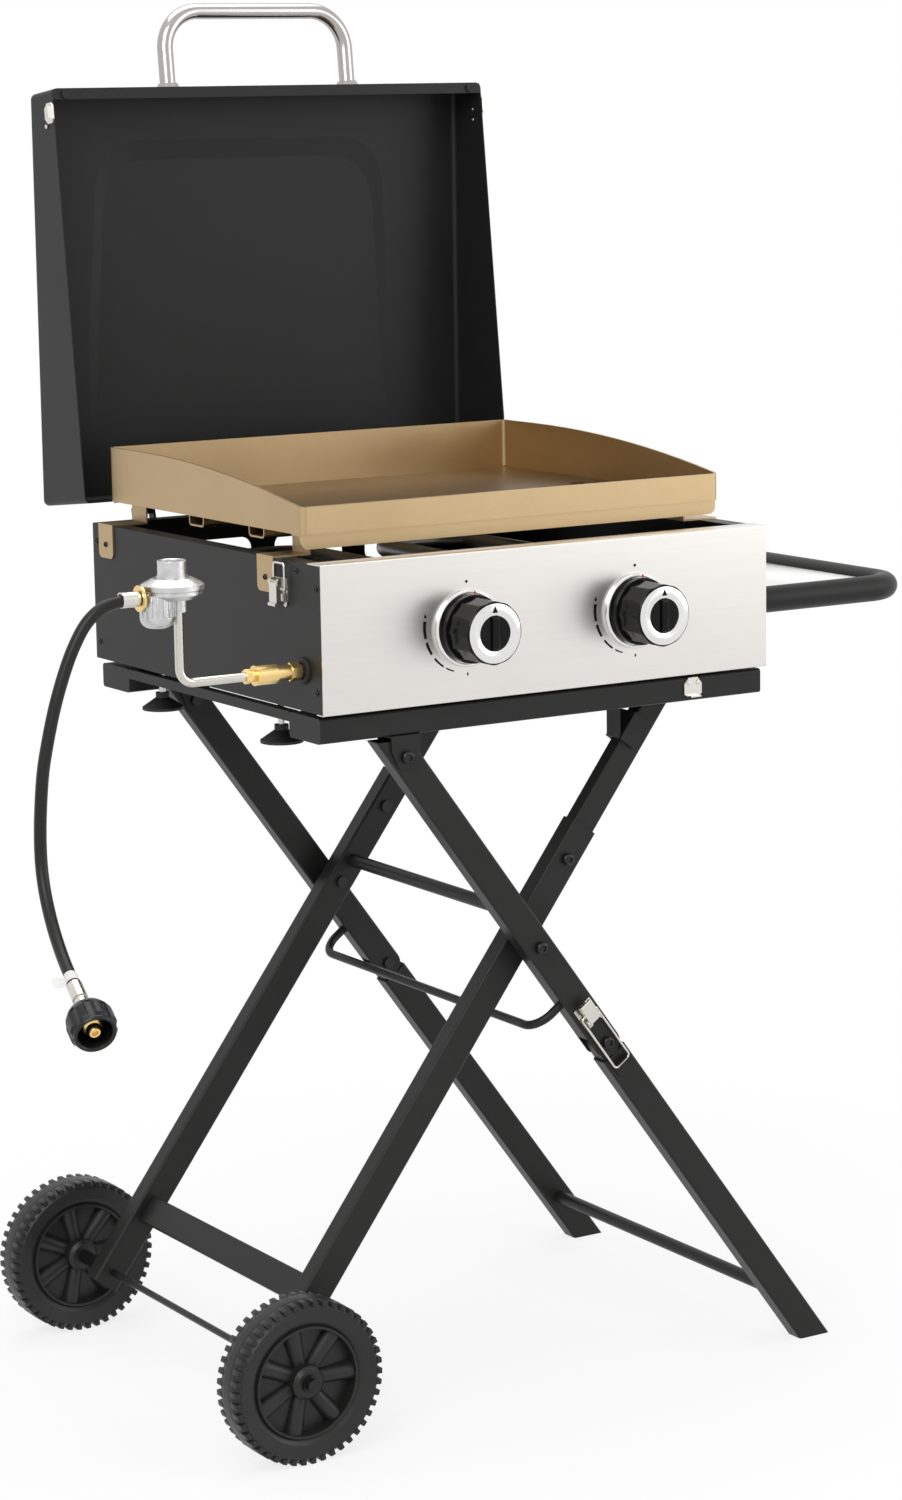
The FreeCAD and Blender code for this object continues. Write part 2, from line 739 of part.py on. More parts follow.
def latch_places():
    """Origin and axes of each latch pin: the two on the case, then the two on the outer legs."""
    out = s.latch_pin_out
    left = (Vector(-out, s.latch_y, s.latch_pin_z), axes(Y, X * -1, Z))
    right = (Vector(s.case_width + out, s.latch_y, s.latch_pin_z), axes(Y * -1, X, Z))
    at = PIVOT + DOWN_OUTER * s.leg_latch_along
    front = (Vector(at.x, s.leg_front - out, at.z), axes(ACROSS_OUTER * -1, Y * -1, DOWN_OUTER))
    back_y = s.leg_front + LEG_SPAN + out
    rear = (Vector(at.x, back_y, at.z), axes(ACROSS_OUTER, Y, DOWN_OUTER))
    return left, right, front, rear


ANGLE = math.radians(s.leg_angle)
PIVOT = Vector(s.pivot_x, 0, -s.pivot_drop)
DOWN_OUTER = Vector(math.cos(ANGLE), 0, -math.sin(ANGLE))
ACROSS_OUTER = Y.cross(DOWN_OUTER)
CROSSING = PIVOT + DOWN_OUTER * s.cross_along
AXLE = Vector(s.axle_x, 0, s.wheel_radius - s.case_lift)
DOWN_INNER = (AXLE - CROSSING).normalize()
ACROSS_INNER = Y.cross(DOWN_INNER)
INNER_LENGTH = (AXLE - CROSSING).Length
OUTER_TURN = axes(ACROSS_OUTER, Y, DOWN_OUTER)
INNER_TURN = axes(ACROSS_INNER, Y, DOWN_INNER)
LEG_SPAN = s.case_depth - s.leg_front - s.leg_back
MIDDLE = s.leg_front + LEG_SPAN / 2
INNER_FRONT = s.leg_front + s.leg_depth + s.leg_gap
INNER_BACK = 2 * MIDDLE - INNER_FRONT - s.leg_depth
OUTER_BACK = s.leg_front + LEG_SPAN - s.leg_depth
WHEEL_FRONT = INNER_FRONT - s.wheel_gap_front - s.wheel_width / 2
WHEEL_BACK = INNER_BACK + s.leg_depth + s.wheel_gap_back + s.wheel_width / 2
FOOT_ALONG = (s.case_lift - s.pivot_drop) / math.sin(ANGLE)
REAR_RAIL = s.case_depth - s.rail_behind - s.rail_depth


def make_latches():
    left, right, front, rear = latch_places()
    bases = []
    for side, (origin, turn) in (("left", left), ("right", right)):
        with working_at(origin, turn):
            bases.append(latch_base(s.latch_height - s.latch_ear))
            node(f"body_latch_lever_{side}", latch_lever())
            node(f"body_latch_bail_{side}", latch_bail(s.bail_short))
    node("latch_bases", group(*bases))
    leg_bases = []
    for side, (origin, turn) in (("front", front), ("rear", rear)):
        with working_at(origin, turn):
            leg_bases.append(latch_base(s.latch_height - s.latch_ear))
            node(f"leg_latch_lever_{side}", latch_lever())
            node(f"leg_latch_bail_{side}", latch_bail(s.bail_long))
    node("leg_latch_bases", group(*leg_bases))


# Knobs and the stems that they push and turn.
def make_knobs():
    for side, knob_x in (("left", s.knob_left), ("right", s.knob_right)):
        with working_at(Vector(knob_x, 0, s.knob_z), TO_FRONT):
            stem = cylinder("stem_radius", "stem_inside + stem_outside", Vector(0, 0, -s.stem_inside))
            node(f"valve_stem_{side}", stem)
            body = new_body(Vector(0, 0, s.knob_gap))
            hollow_radius = "knob_skirt - knob_wall"
            half_section = [("stem_radius + shaft_fit", "0"), ("knob_hub", "0"), ("knob_hub", "knob_hollow"),
                            (f"{hollow_radius} - 1", "knob_hollow"), (hollow_radius, "0"),
                            ("knob_skirt", "0"),
                            ("knob_face", "knob_depth - 1.5"), ("knob_face - 1.5", "knob_depth"),
                            ("0", "knob_depth"), ("0", "stem_outside - knob_gap + 1"),
                            ("stem_radius + shaft_fit", "stem_outside - knob_gap + 1")]
            turned(body, [half_section])
            grip = rectangle("-grip_width / 2", "-knob_centre + 1", "grip_width / 2", "knob_centre - 1")
            pad(body, "XY_Plane", [grip], "grip_height + 1", False, False, "knob_depth - 1")
            rounded(body, "2", lambda e: middle_of(e).z > s.knob_depth + s.grip_height - 0.1)
            flats = prism("knob_across", "knob_depth + grip_height + 2", Vector(0, 0, s.knob_gap - 1), None,
                          int(s.knob_sides))
            flange = new_body(Vector(0, 0, s.knob_gap))
            turned(flange, [[(hollow_radius, "0"), ("knob_flange", "0"),
                             ("knob_flange", "knob_flange_height - 1"),
                             ("knob_flange - 1", "knob_flange_height"),
                             (hollow_radius, "knob_flange_height")]])
            node(f"knob_{side}", fuse(common(body, flats), flange))


# Regulator with its bonnet, the tube to the case and the brass fittings.
def make_regulator():
    x, y = s.regulator_x, s.pipe_y
    seat = new_body(Vector(x, y, 0))
    half_section = [("0", "bonnet_z - 9"), ("bonnet_radius - 9", "bonnet_z - 9"),
                    ("bonnet_radius - 2", "bonnet_z - 4"),
                    ("bonnet_radius - 2", "bonnet_z"), ("0", "bonnet_z")]
    turned(seat, [half_section])
    bowl = new_body(Vector(x - s.bowl_shift, y, 0))
    pad(bowl, "XY_Plane", [("circle", "0", "0", "bowl_radius")], "bonnet_z - bowl_low - 3",
        False, False, "bowl_low")
    rounded(bowl, "bowl_round", lambda e: middle_of(e).z < s.bowl_low + 0.1)
    boss = cylinder("outlet_radius + 4.5", "bonnet_z - boss_low - 3", Vector(s.outlet_x, y, s.boss_low))
    inlet_end = Vector(x - s.inlet_reach, y, s.inlet_z)
    flange_thick = "inlet_reach - bowl_shift - bowl_radius - inlet_neck"
    neck = Vector(x - s.bowl_shift - s.bowl_radius - s.inlet_neck, y, s.inlet_z)
    inlet = cylinder("inlet_radius", "bowl_shift", neck, ALONG_X)
    node("regulator_body", fuse(seat, bowl, boss, inlet))

    cap = new_body(Vector(x, y, 0))
    top = "bonnet_z + bonnet_height"
    half_section = [("0", "bonnet_z"), ("bonnet_radius - 1", "bonnet_z"), ("bonnet_radius", "bonnet_z + 1"),
                    ("bonnet_radius", "bonnet_z + 6"), ("bonnet_radius - 1", "bonnet_z + 7"),
                    ("cap_radius + 6", top), ("cap_radius + 1", top), ("cap_radius + 1", f"{top} + 3"),
                    ("cap_radius", f"{top} + 3"), ("cap_radius", f"{top} + cap_height - 2"),
                    ("cap_radius - 2", f"{top} + cap_height"), ("0", f"{top} + cap_height")]
    turned(cap, [half_section])
    node("regulator_bonnet", cap)

    points = [Vector(s.outlet_x, y, s.boss_low), Vector(s.outlet_x, y, s.pipe_z),
              Vector(s.fitting_start, y, s.pipe_z)]
    node("outlet_tube", feature(bent_tube(points, [s.outlet_bend], s.outlet_radius)))

    start = s.fitting_start
    at = Vector(start, y, s.pipe_z)
    fitting = fuse(prism("8", "6", at, ALONG_X), cylinder("6.5", "7", at + X * 5.5, ALONG_X),
                   cylinder("11", "25", at + X * 12, ALONG_X), cylinder("8.7", "19", at + X * 36.5, ALONG_X),
                   prism("10.5", "11", at + X * 55, ALONG_X),
                   cylinder("8", "-2 - fitting_start - 65", at + X * 65, ALONG_X))
    collar = cylinder("inlet_flange", flange_thick, inlet_end, ALONG_X)
    node("brass_fittings", group(fitting, collar))


# Gas hose, from the regulator's inlet down to the bottle nut.
HOSE_POINTS = [
    (-195.5, 40, 138.5), (-228, 40, 138.5), (-255.7, 40, 121.5), (-274, 40, 91.8), (-286.6, 40, 61.8),
    (-296.9, 40, 31.5), (-304.9, 40, 0.9), (-311.8, 40, -29.7), (-315.3, 40, -60.8), (-317.6, 40, -92.1),
    (-318.9, 38, -123.3), (-320.5, 30, -148.1), (-323.1, 16, -169.6), (-326.7, -3, -188.9),
    (-330.8, -25, -205.2), (-335.5, -49, -218.8), (-343.4, -93.3, -240.2),
]


def make_hose():
    points = [Vector(*point) for point in HOSE_POINTS]
    runs = [(after - before).Length for before, after in zip(points, points[1:])]
    bends = []
    for i in range(1, len(points) - 1):
        turn = (points[i] - points[i - 1]).getAngle(points[i + 1] - points[i])
        bends.append(0.45 * min(runs[i - 1], runs[i]) / math.tan(turn / 2))
    print("hose radii", [round(bend) for bend in bends], "runs", [round(run) for run in runs])
    path = bent_path(points, bends)
    hose = bent_tube(points, bends, s.hose_radius)
    expected = math.pi * s.hose_radius ** 2 * path.Length
    share = round(hose.Volume / expected, 4)
    print("hose volume over section times length", share, "length", round(path.Length))
    assert abs(hose.Volume / expected - 1) < 0.01, "the hose is pinched"
    node("gas_hose", feature(hose))

    start_turn = Rotation(Z, (points[1] - points[0]).normalize())
    end_heading = (points[-1] - points[-2]).normalize()
    end_turn = Rotation(Z, end_heading)
    with working_at(points[0], start_turn):
        first_crimp = cut(cylinder("crimp_radius", "crimp_length", Vector(0, 0, 1)),
                          cylinder("hose_radius", "crimp_length + 8", Vector(0, 0, -2)))
    with working_at(points[-1], end_turn):
        last_crimp = cut(cylinder("crimp_radius", "crimp_length", Vector(0, 0, -s.crimp_length)),
                         cylinder("hose_radius", "crimp_length + 8", Vector(0, 0, -s.crimp_length - 8)))
        nipple = new_body()
        nose = "nipple_length"
        half_section = [("0", "0"), ("crimp_radius", "0"), ("crimp_radius", "3"), ("nipple_radius", "3"),
                        ("nipple_radius", "nut_start + nut_back + 0.4"),
                        ("nipple_radius + 3.5", "nut_start + nut_back + 0.4"),
                        ("nipple_radius + 3.5", "nut_start + nut_back + 4"),
                        ("nipple_radius - 0.5", "nut_start + nut_back + 6"),
                        ("nipple_radius - 0.5", f"{nose} - 8"), ("nipple_radius - 3", nose), ("0", nose)]
        turned(nipple, [half_section])
        node("hose_end", group(first_crimp, last_crimp, nipple))
        nut = new_body(Vector(0, 0, s.nut_start))
        ring = [("nipple_radius + shaft_fit", "0"), ("nut_radius - 8", "0"), ("nut_radius - 4", "2.5"),
                ("nut_radius - 1", "9"), ("nut_radius", "12"), ("nut_radius", "nut_height - 7"),
                ("nut_radius - 2.5", "nut_height - 4"), ("nut_radius - 2.5", "nut_height - 2"),
                ("nut_radius - 3.5", "nut_height"), ("nut_bore + 1.5", "nut_height"),
                ("nut_bore", "nut_height - 1.5"),
                ("nut_bore", "nut_back"), ("nipple_radius + shaft_fit", "nut_back")]
        turned(nut, [ring])
        slots = []
        for number in range(8):
            turn = 2 * math.pi * number / 8
            radius = s.nut_radius + 6.5
            at = Vector(radius * math.cos(turn), radius * math.sin(turn), s.nut_start + 8)
            slots.append(cylinder("9", "nut_height", at))
        node("gas_nut", cut(nut, fuse(*slots)))


def pressed_arch(lift):
    """The field that is pressed outwards in the lid's top, deepest at the front and fading to the back."""
    left, right = s.case_width / 2 - 247, s.case_width / 2 + 209
    front, back = s.lid_front + 53, s.case_depth - 66
    slope = (s.lid_back_height - s.lid_front_height) / (s.case_depth - s.lid_front)
    wires = []
    for inset, taper, top, deep in ((0, 38, front, -0.5), (23, 25, front + 26, s.arch_depth)):
        corners = [(left + inset, back), (left + inset + taper, top), (right - inset - taper * 0.6, top),
                   (right - inset, back)]
        points = []
        for x, y in corners:
            fade = deep if deep < 0 else deep * (back + 8 - y) / (back - front)
            level = s.lid_rim + s.lid_front_height + slope * (y - s.lid_front) - s.lid_sheet
            points.append(Vector(x, y, level + fade + lift))
        open_path = bent_path(points, [s.arch_corner] * 2)
        wires.append(Part.Wire(open_path.Edges + [Part.makeLine(points[-1], points[0])]))
    return Part.makeLoft(wires, True, True)


# Lid, drawn shut and then swung open about its pins.
def make_lid():
    pin = Vector(0, s.case_depth + s.lid_pin_out, s.lid_pin_z)
    swing = Rotation(X, -s.lid_open_angle)
    with working_at(pin - swing.multVec(pin), swing):
        left = "(case_width - lid_width) / 2"
        right = "(case_width + lid_width) / 2"
        back = "case_depth"
        outer = new_body()
        profile = [("lid_front", "lid_rim"), (back, "lid_rim"), (back, "lid_rim + lid_back_height"),
                   ("lid_front", "lid_rim + lid_front_height")]
        pad(outer, "YZ_Plane", [profile], "lid_width", False, False, left)
        rounded(outer, "lid_corner", lambda e: middle_of(e).z > s.lid_rim + 1)
        inner = new_body()
        thick = "lid_sheet"
        hollow = [(f"lid_front + {thick}", "lid_rim - 30"), (f"{back} - {thick}", "lid_rim - 30"),
                  (f"{back} - {thick}", f"lid_rim + lid_back_height - {thick}"),
                  (f"lid_front + {thick}", f"lid_rim + lid_front_height - {thick}")]
        pad(inner, "YZ_Plane", [hollow], f"lid_width - 2 * {thick}", False, False, f"{left} + {thick}")
        rounded(inner, "lid_corner - lid_sheet", lambda e: middle_of(e).z > s.lid_rim + 1)
        shell = cut(fuse(cut(outer, inner), feature(pressed_arch(s.lid_sheet))), feature(pressed_arch(0)))
        rim = new_body()
        flange = [(f"lid_front + {thick}", "lid_rim"), ("lid_front + lid_flange", "lid_rim"),
                  ("lid_front + lid_flange", f"lid_rim + {thick}"),
                  (f"lid_front + {thick}", f"lid_rim + {thick}")]
        pad(rim, "YZ_Plane", [flange], f"lid_width - 2 * {thick}", False, False, f"{left} + {thick}")
        node("lid_shell", fuse(shell, rim))

        z = s.lid_rim + s.lid_front_height / 2
        front = s.lid_front
        ends = [s.handle_left, s.handle_left + s.handle_span]
        bar_y = front - s.handle_reach
        points = [Vector(ends[0], front - 3, z), Vector(ends[0], bar_y, z), Vector(ends[1], bar_y, z),
                  Vector(ends[1], front - 3, z)]
        tube = feature(bent_tube(points, [s.handle_bend] * 2, s.handle_radius))
        bosses = [cone("boss_radius", "boss_radius - 3", "boss_height", Vector(x, front, z), TO_FRONT)
                  for x in ends]
        node("lid_handle", fuse(tube, *bosses))

        wall_left = (s.case_width - s.lid_width) / 2
        wall_right = (s.case_width + s.lid_width) / 2
        bumpers = [cylinder("bumper_radius", "bumper_height",
                            Vector(x, front + 7, s.lid_rim - s.bumper_height))
                   for x in (13, s.case_width - 13)]
        node("lid_bumpers", group(*bumpers))
        hinge_leaves = []
        for x in (s.lid_pin_inset, s.case_width - s.lid_pin_inset):
            wall_y = s.case_depth
            flap = box("hinge_width", "2", "30", Vector(x - s.hinge_width / 2, wall_y, s.lid_pin_z + 2.5))
            knuckle_at = pin + X * (x - s.knuckle_width / 2)
            leaf = fuse(flap, cylinder("knuckle_radius", "knuckle_width", knuckle_at, ALONG_X),
                        box("knuckle_width", "lid_pin_out", "3.5",
                            Vector(x - s.knuckle_width / 2, wall_y, s.lid_pin_z + 2.5)))
            pin_hole = cylinder("lid_pin_radius + shaft_fit", "60", pin + X * (x - 30), ALONG_X)
            hinge_leaves.append(cut(leaf, pin_hole))
        node("lid_leaves", group(*hinge_leaves))
        open_place = work.place
    keepers = []
    keeper_z = s.lid_rim - s.latch_sheet
    for at, turn in ((Vector(wall_left, s.latch_y, keeper_z), axes(Y, X * -1, Z)),
                     (Vector(wall_right, s.latch_y, keeper_z), axes(Y * -1, X, Z))):
        before = work.place
        work.place = open_place.multiply(Placement(at, turn))
        keepers.append(keeper_plate())
        work.place = before
    node("lid_keepers", group(*keepers))

    hinges = []
    for x in (s.lid_pin_inset, s.case_width - s.lid_pin_inset):
        wall_y = s.case_depth
        pieces = [box("hinge_width", "2.5", "40", Vector(x - s.hinge_width / 2, wall_y, 116)),
                  cylinder("lid_pin_radius", "knuckle_width + 8",
                           pin + X * (x - s.knuckle_width / 2 - 4), ALONG_X)]
        for ear_x in (x - s.knuckle_width / 2 - 3.3, x + s.knuckle_width / 2 + 0.3):
            ear = new_body(Vector(ear_x, 0, 0))
            wall = "case_depth"
            side = [(f"{wall} + 0.3", "130"), (f"{wall} + lid_pin_out + 3", "150"),
                    (f"{wall} + lid_pin_out + 6", "lid_pin_z"),
                    (f"{wall} + lid_pin_out + 3", "lid_pin_z + 5"),
                    (f"{wall} + lid_pin_out - 3", "lid_pin_z + 5"),
                    (f"{wall} + lid_pin_out - 6", "lid_pin_z"),
                    (f"{wall} + 2", "156"), (f"{wall} + 0.3", "156")]
            pad(ear, "YZ_Plane", [side], "3")
            pieces.append(ear)
        hinges.append(fuse(*pieces))
    node("lid_hinges", group(*hinges))


# Top frame: two closed rails joined by side bars, with everything that hangs from it.
def make_top_frame():
    top = -s.pan_drop
    for label, front, lowest_y in (("front_rail", "rail_front", s.rail_front),
                                   ("rear_rail", "(case_depth - rail_behind - rail_depth)", REAR_RAIL)):
        body = new_body(Vector(s.rail_inset, 0, 0))
        section = rectangle(front, "-pan_drop - rail_height", f"{front} + rail_depth", "-pan_drop")
        pad(body, "YZ_Plane", [section], "case_width - 2 * rail_inset")
        rounded(body, "rail_corner", lambda e: runs_along(e, X))
        inside = rectangle(f"{front} + rail_wall", "rail_wall - pan_drop - rail_height",
                           f"{front} + rail_depth - rail_wall", "-pan_drop - rail_wall")
        pocket(body, "YZ_Plane", [inside], "3 * case_width")
        y = lowest_y + s.rail_wall
        caps = [box("2", "rail_depth - 2 * rail_wall", "rail_height - 2 * rail_wall",
                    Vector(x, y, top - s.rail_height + s.rail_wall))
                for x in (s.rail_inset, s.case_width - s.rail_inset - 2)]
        node(label, fuse(body, *caps))
    bars = []
    bar_y = s.rail_front + s.rail_depth
    for x in (s.rail_inset, s.case_width - s.rail_inset - s.bar_width):
        bars.append(box("bar_width", "case_depth - rail_behind - rail_front - 2 * rail_depth", "bar_height",
                        Vector(x, bar_y, top - s.bar_height)))
    node("side_bars", group(*bars))
    with working_at(Vector(489, s.rail_front, -28), axes(X * -1, Y * -1, Z)):
        node("rail_keeper", keeper_plate())


def make_feet():
    for side, x in (("left", s.foot_inset), ("right", s.case_width - s.foot_inset)):
        for end, y in (("front", s.foot_front), ("rear", s.case_depth - s.foot_behind)):
            body = new_body(Vector(x, y, -s.foot_drop - s.foot_height))
            turned(body, [[("0", "0"), ("foot_radius", "0"), ("foot_radius", "foot_lip"),
                           ("foot_neck + 3", "foot_height - foot_neck_height - 1"),
                           ("foot_neck", "foot_height - foot_neck_height + 1"), ("foot_neck", "foot_height"),
                           ("0", "foot_height")]])
            pieces = [body, cylinder("foot_stem", "foot_drop + 14", Vector(x, y, -s.foot_drop)),
                      prism("foot_nut", "6", Vector(x, y, 9 - s.foot_drop))]
            node(f"foot_{end}_{side}", fuse(*pieces))


# Outer leg pair with its fold, the inner leg pair with its wheels, and the brackets under the rails.
def leg_tube(front, start, length, width="leg_width", depth="leg_depth", wall="leg_wall"):
    """A rectangular tube along the present z axis; front is its lowest y."""
    body = new_body(Vector(0, front, start))
    outline = rectangle(f"-({width}) / 2", "0", f"({width}) / 2", depth)
    pad(body, "XY_Plane", [outline], length)
    rounded(body, "leg_corner", lambda e: runs_along(e, Z))
    inside = rectangle(f"-({width}) / 2 + {wall}", wall, f"({width}) / 2 - {wall}", f"({depth}) - {wall}")
    pocket(body, "XY_Plane", [inside], "4000")
    return body


def bolt_hole(radius, y, along, long=60):
    return cylinder(radius, str(long), Vector(0, y, along), ALONG_Y)


def round_end(front, along):
    """What to take off so that the leg ends in a half round about a bolt."""
    half = s.leg_width / 2
    block = box("leg_width + 4", "leg_depth + 4", "leg_width + 30", Vector(-half - 2, front - 2, along))
    disc = cylinder("leg_width / 2", "leg_depth + 6", Vector(0, front - 3, along), ALONG_Y)
    return cut(block, disc)


def make_outer_legs():
    fold = s.fold_along
    reach = fold + s.leg_width / 2 + 1
    slab = box("1600", "900", "300", Vector(-500, -100, s.outer_top - s.pivot_drop))
    floor = box("1600", "900", "400", Vector(-500, -100, -s.case_lift - 400))
    fit = "bolt_radius + shaft_fit"
    tops = []
    lowers = []
    with working_at(PIVOT, OUTER_TURN):
        for front in (s.leg_front, OUTER_BACK):
            leg = leg_tube(front, -50, str(reach + 50))
            window = box("leg_wall + 4", "leg_depth - 2 * leg_wall", "60",
                         Vector(s.leg_width / 2 - s.leg_wall - 1, front + s.leg_wall, fold - 20))
            tops.append(cut(leg, slab, round_end(front, fold), window, bolt_hole(fit, front - 10, 0),
                            bolt_hole(fit, front - 10, s.cross_along),
                            bolt_hole("bolt_radius", front - 10, fold)))
            inset = s.leg_wall + s.fold_gap
            start = fold + s.leg_width / 2 + s.fold_gap
            tube = leg_tube(front, start, str(FOOT_ALONG - start + 60))
            tongue = box("leg_width - 2 * leg_wall - 1", "leg_depth - 2 * leg_wall - 2 * fold_gap", "40",
                         Vector(-s.leg_width / 2 + s.leg_wall + 0.5, front + inset, fold))
            heel = cylinder("leg_width / 2 - leg_wall - 0.5", "leg_depth - 2 * leg_wall - 2 * fold_gap",
                            Vector(0, front + inset, fold), ALONG_Y)
            plug = box("leg_width - leg_wall", "leg_depth - leg_wall", "30",
                       Vector(-s.leg_width / 2 + s.leg_wall / 2, front + s.leg_wall / 2, start))
            end_plug = box("leg_width - leg_wall", "leg_depth - leg_wall", "60",
                           Vector(-s.leg_width / 2 + s.leg_wall / 2, front + s.leg_wall / 2, FOOT_ALONG - 22))
            lower = cut(fuse(tube, tongue, heel, plug, end_plug), bolt_hole(fit, front - 10, fold), floor)
            lowers.append(lower)
        bar = cylinder("foot_bar_radius", "case_depth - leg_front - leg_back - 2 * leg_depth + 1",
                       Vector(0, s.leg_front + s.leg_depth - 0.5, FOOT_ALONG - s.foot_bar_above), ALONG_Y)
        half = s.leg_width / 2
        out = half + s.stay_out
        y_front, y_back = s.leg_front + s.leg_depth / 2, OUTER_BACK + s.leg_depth / 2
        points = [Vector(half, y_front, s.stay_along), Vector(out, y_front, s.stay_along),
                  Vector(out, y_back, s.stay_along), Vector(half, y_back, s.stay_along)]
        node("stay_rod", feature(bent_tube(points, [s.stay_bend] * 2, s.stay_radius)))
        bolts = []
        for front in (s.leg_front, OUTER_BACK):
            head = s.bolt_head_height
            heads = [cylinder("bolt_head", "bolt_head_height", Vector(0, y, fold), ALONG_Y)
                     for y in (front - head, front + s.leg_depth)]
            bolts.append(fuse(cylinder("bolt_radius", "leg_depth", Vector(0, front, fold), ALONG_Y), *heads))
        node("fold_bolts", group(*bolts))
    node("outer_legs", group(*tops))
    left, right, front, rear = latch_places()
    hooks = []
    lip_at = s.bail_long - s.bail_back - s.bail_wire - 0.7 - s.latch_sheet
    for origin, turn in (front, rear):
        with working_at(origin + turn.multVec(Vector(0, -s.latch_pin_out, lip_at)), turn):
            hooks.append(keeper_plate())
    node("lower_legs", fuse(*lowers, bar, *hooks))


def make_inner_legs():
    above = s.sleeve_above
    cut_off = box("1600", "900", "300", Vector(-500, -100, -s.inner_top))
    legs = []
    tops = []
    with working_at(CROSSING, INNER_TURN):
        for front in (INNER_FRONT, INNER_BACK):
            leg = leg_tube(front, -above, str(above + INNER_LENGTH + s.leg_width / 2 + 1))
            legs.append(cut(leg, bolt_hole("axle_radius", front - 10, INNER_LENGTH),
                            bolt_hole("bolt_radius", front - 10, 0),
                            bolt_hole("bolt_radius", front - 10, -s.sleeve_bolt)))
            play = s.leg_wall + s.sleeve_play
            inside = leg_tube(front + play, -above - 240, str(240 + s.sleeve_overlap),
                              "leg_width - 2 * leg_wall - 2 * sleeve_play",
                              "leg_depth - 2 * leg_wall - 2 * sleeve_play")
            tops.append(cut(inside, cut_off, bolt_hole("bolt_radius", front - 10, -s.sleeve_bolt)))
        node("inner_legs", group(*legs))
        node("inner_leg_tops", group(*tops))
        start = INNER_FRONT + s.leg_depth
        span = str(INNER_BACK - start)
        round_bar = cylinder("round_bar_radius", span, Vector(0, start, -s.round_bar_above), ALONG_Y)
        flat = new_body(Vector(-s.flat_bar_depth / 2, start, s.flat_bar_below - s.flat_bar_width / 2))
        pad(flat, "XZ_Plane", [rectangle("0", "0", "flat_bar_depth", "flat_bar_width")], span, False, True)
        rounded(flat, "2", lambda e: runs_along(e, Y))
        node("inner_bars", group(round_bar, flat))

        head = s.bolt_head_height
        bolts = []
        rear_end = s.leg_front + LEG_SPAN
        for leg_front, outer_face, inner_face, outwards in (
                (s.leg_front, s.leg_front, INNER_FRONT + s.leg_depth, -1),
                (OUTER_BACK, rear_end, INNER_BACK, 1)):
            low = min(outer_face + outwards * (s.side_gap + head), inner_face - outwards * head)
            high = max(outer_face + outwards * (s.side_gap + head), inner_face - outwards * head)
            shank = cylinder("bolt_radius", str(high - low), Vector(0, low, 0), ALONG_Y)
            heads = [cylinder("bolt_head", "bolt_head_height", Vector(0, low, 0), ALONG_Y),
                     cylinder("bolt_head", "bolt_head_height", Vector(0, high - head, 0), ALONG_Y)]
            gap_start = s.leg_front + s.leg_depth + s.side_gap if outwards < 0 else INNER_BACK + s.leg_depth
            spacer = cylinder("bolt_head + 2", "leg_gap - side_gap", Vector(0, gap_start, 0), ALONG_Y)
            bolts.append(fuse(shank, *heads, spacer))
            sleeve_low = INNER_FRONT if outwards < 0 else INNER_BACK
            at = Vector(0, sleeve_low - head, -s.sleeve_bolt)
            bolts.append(fuse(cylinder("bolt_radius", "leg_depth + 2 * bolt_head_height", at, ALONG_Y),
                              cylinder("bolt_head", "bolt_head_height", at, ALONG_Y),
                              cylinder("bolt_head", "bolt_head_height",
                                       at + Y * (s.leg_depth + head), ALONG_Y)))
        half = s.wheel_width / 2
        low = WHEEL_FRONT - half - 9
        high = WHEEL_BACK + half + 9
        rod = cylinder("axle_radius", str(high - low), Vector(0, low, INNER_LENGTH), ALONG_Y)
        pieces = [rod]
        for end in (low, high - 6):
            pieces.append(prism("8", "6", Vector(0, end, INNER_LENGTH), ALONG_Y))
        for side_start, side_end in ((WHEEL_FRONT + half + s.side_gap, INNER_FRONT),
                                     (INNER_BACK + s.leg_depth, WHEEL_BACK - half - s.side_gap)):
            pieces.append(cylinder("axle_radius + 4", str(side_end - side_start),
                                   Vector(0, side_start, INNER_LENGTH), ALONG_Y))
        for end in (WHEEL_FRONT - half - 3, WHEEL_BACK + half + s.side_gap):
            pieces.append(cylinder("axle_radius + 6", str(3 - s.side_gap),
                                   Vector(0, end, INNER_LENGTH), ALONG_Y))
        node("axle_and_bolts", group(fuse(*pieces), *bolts))


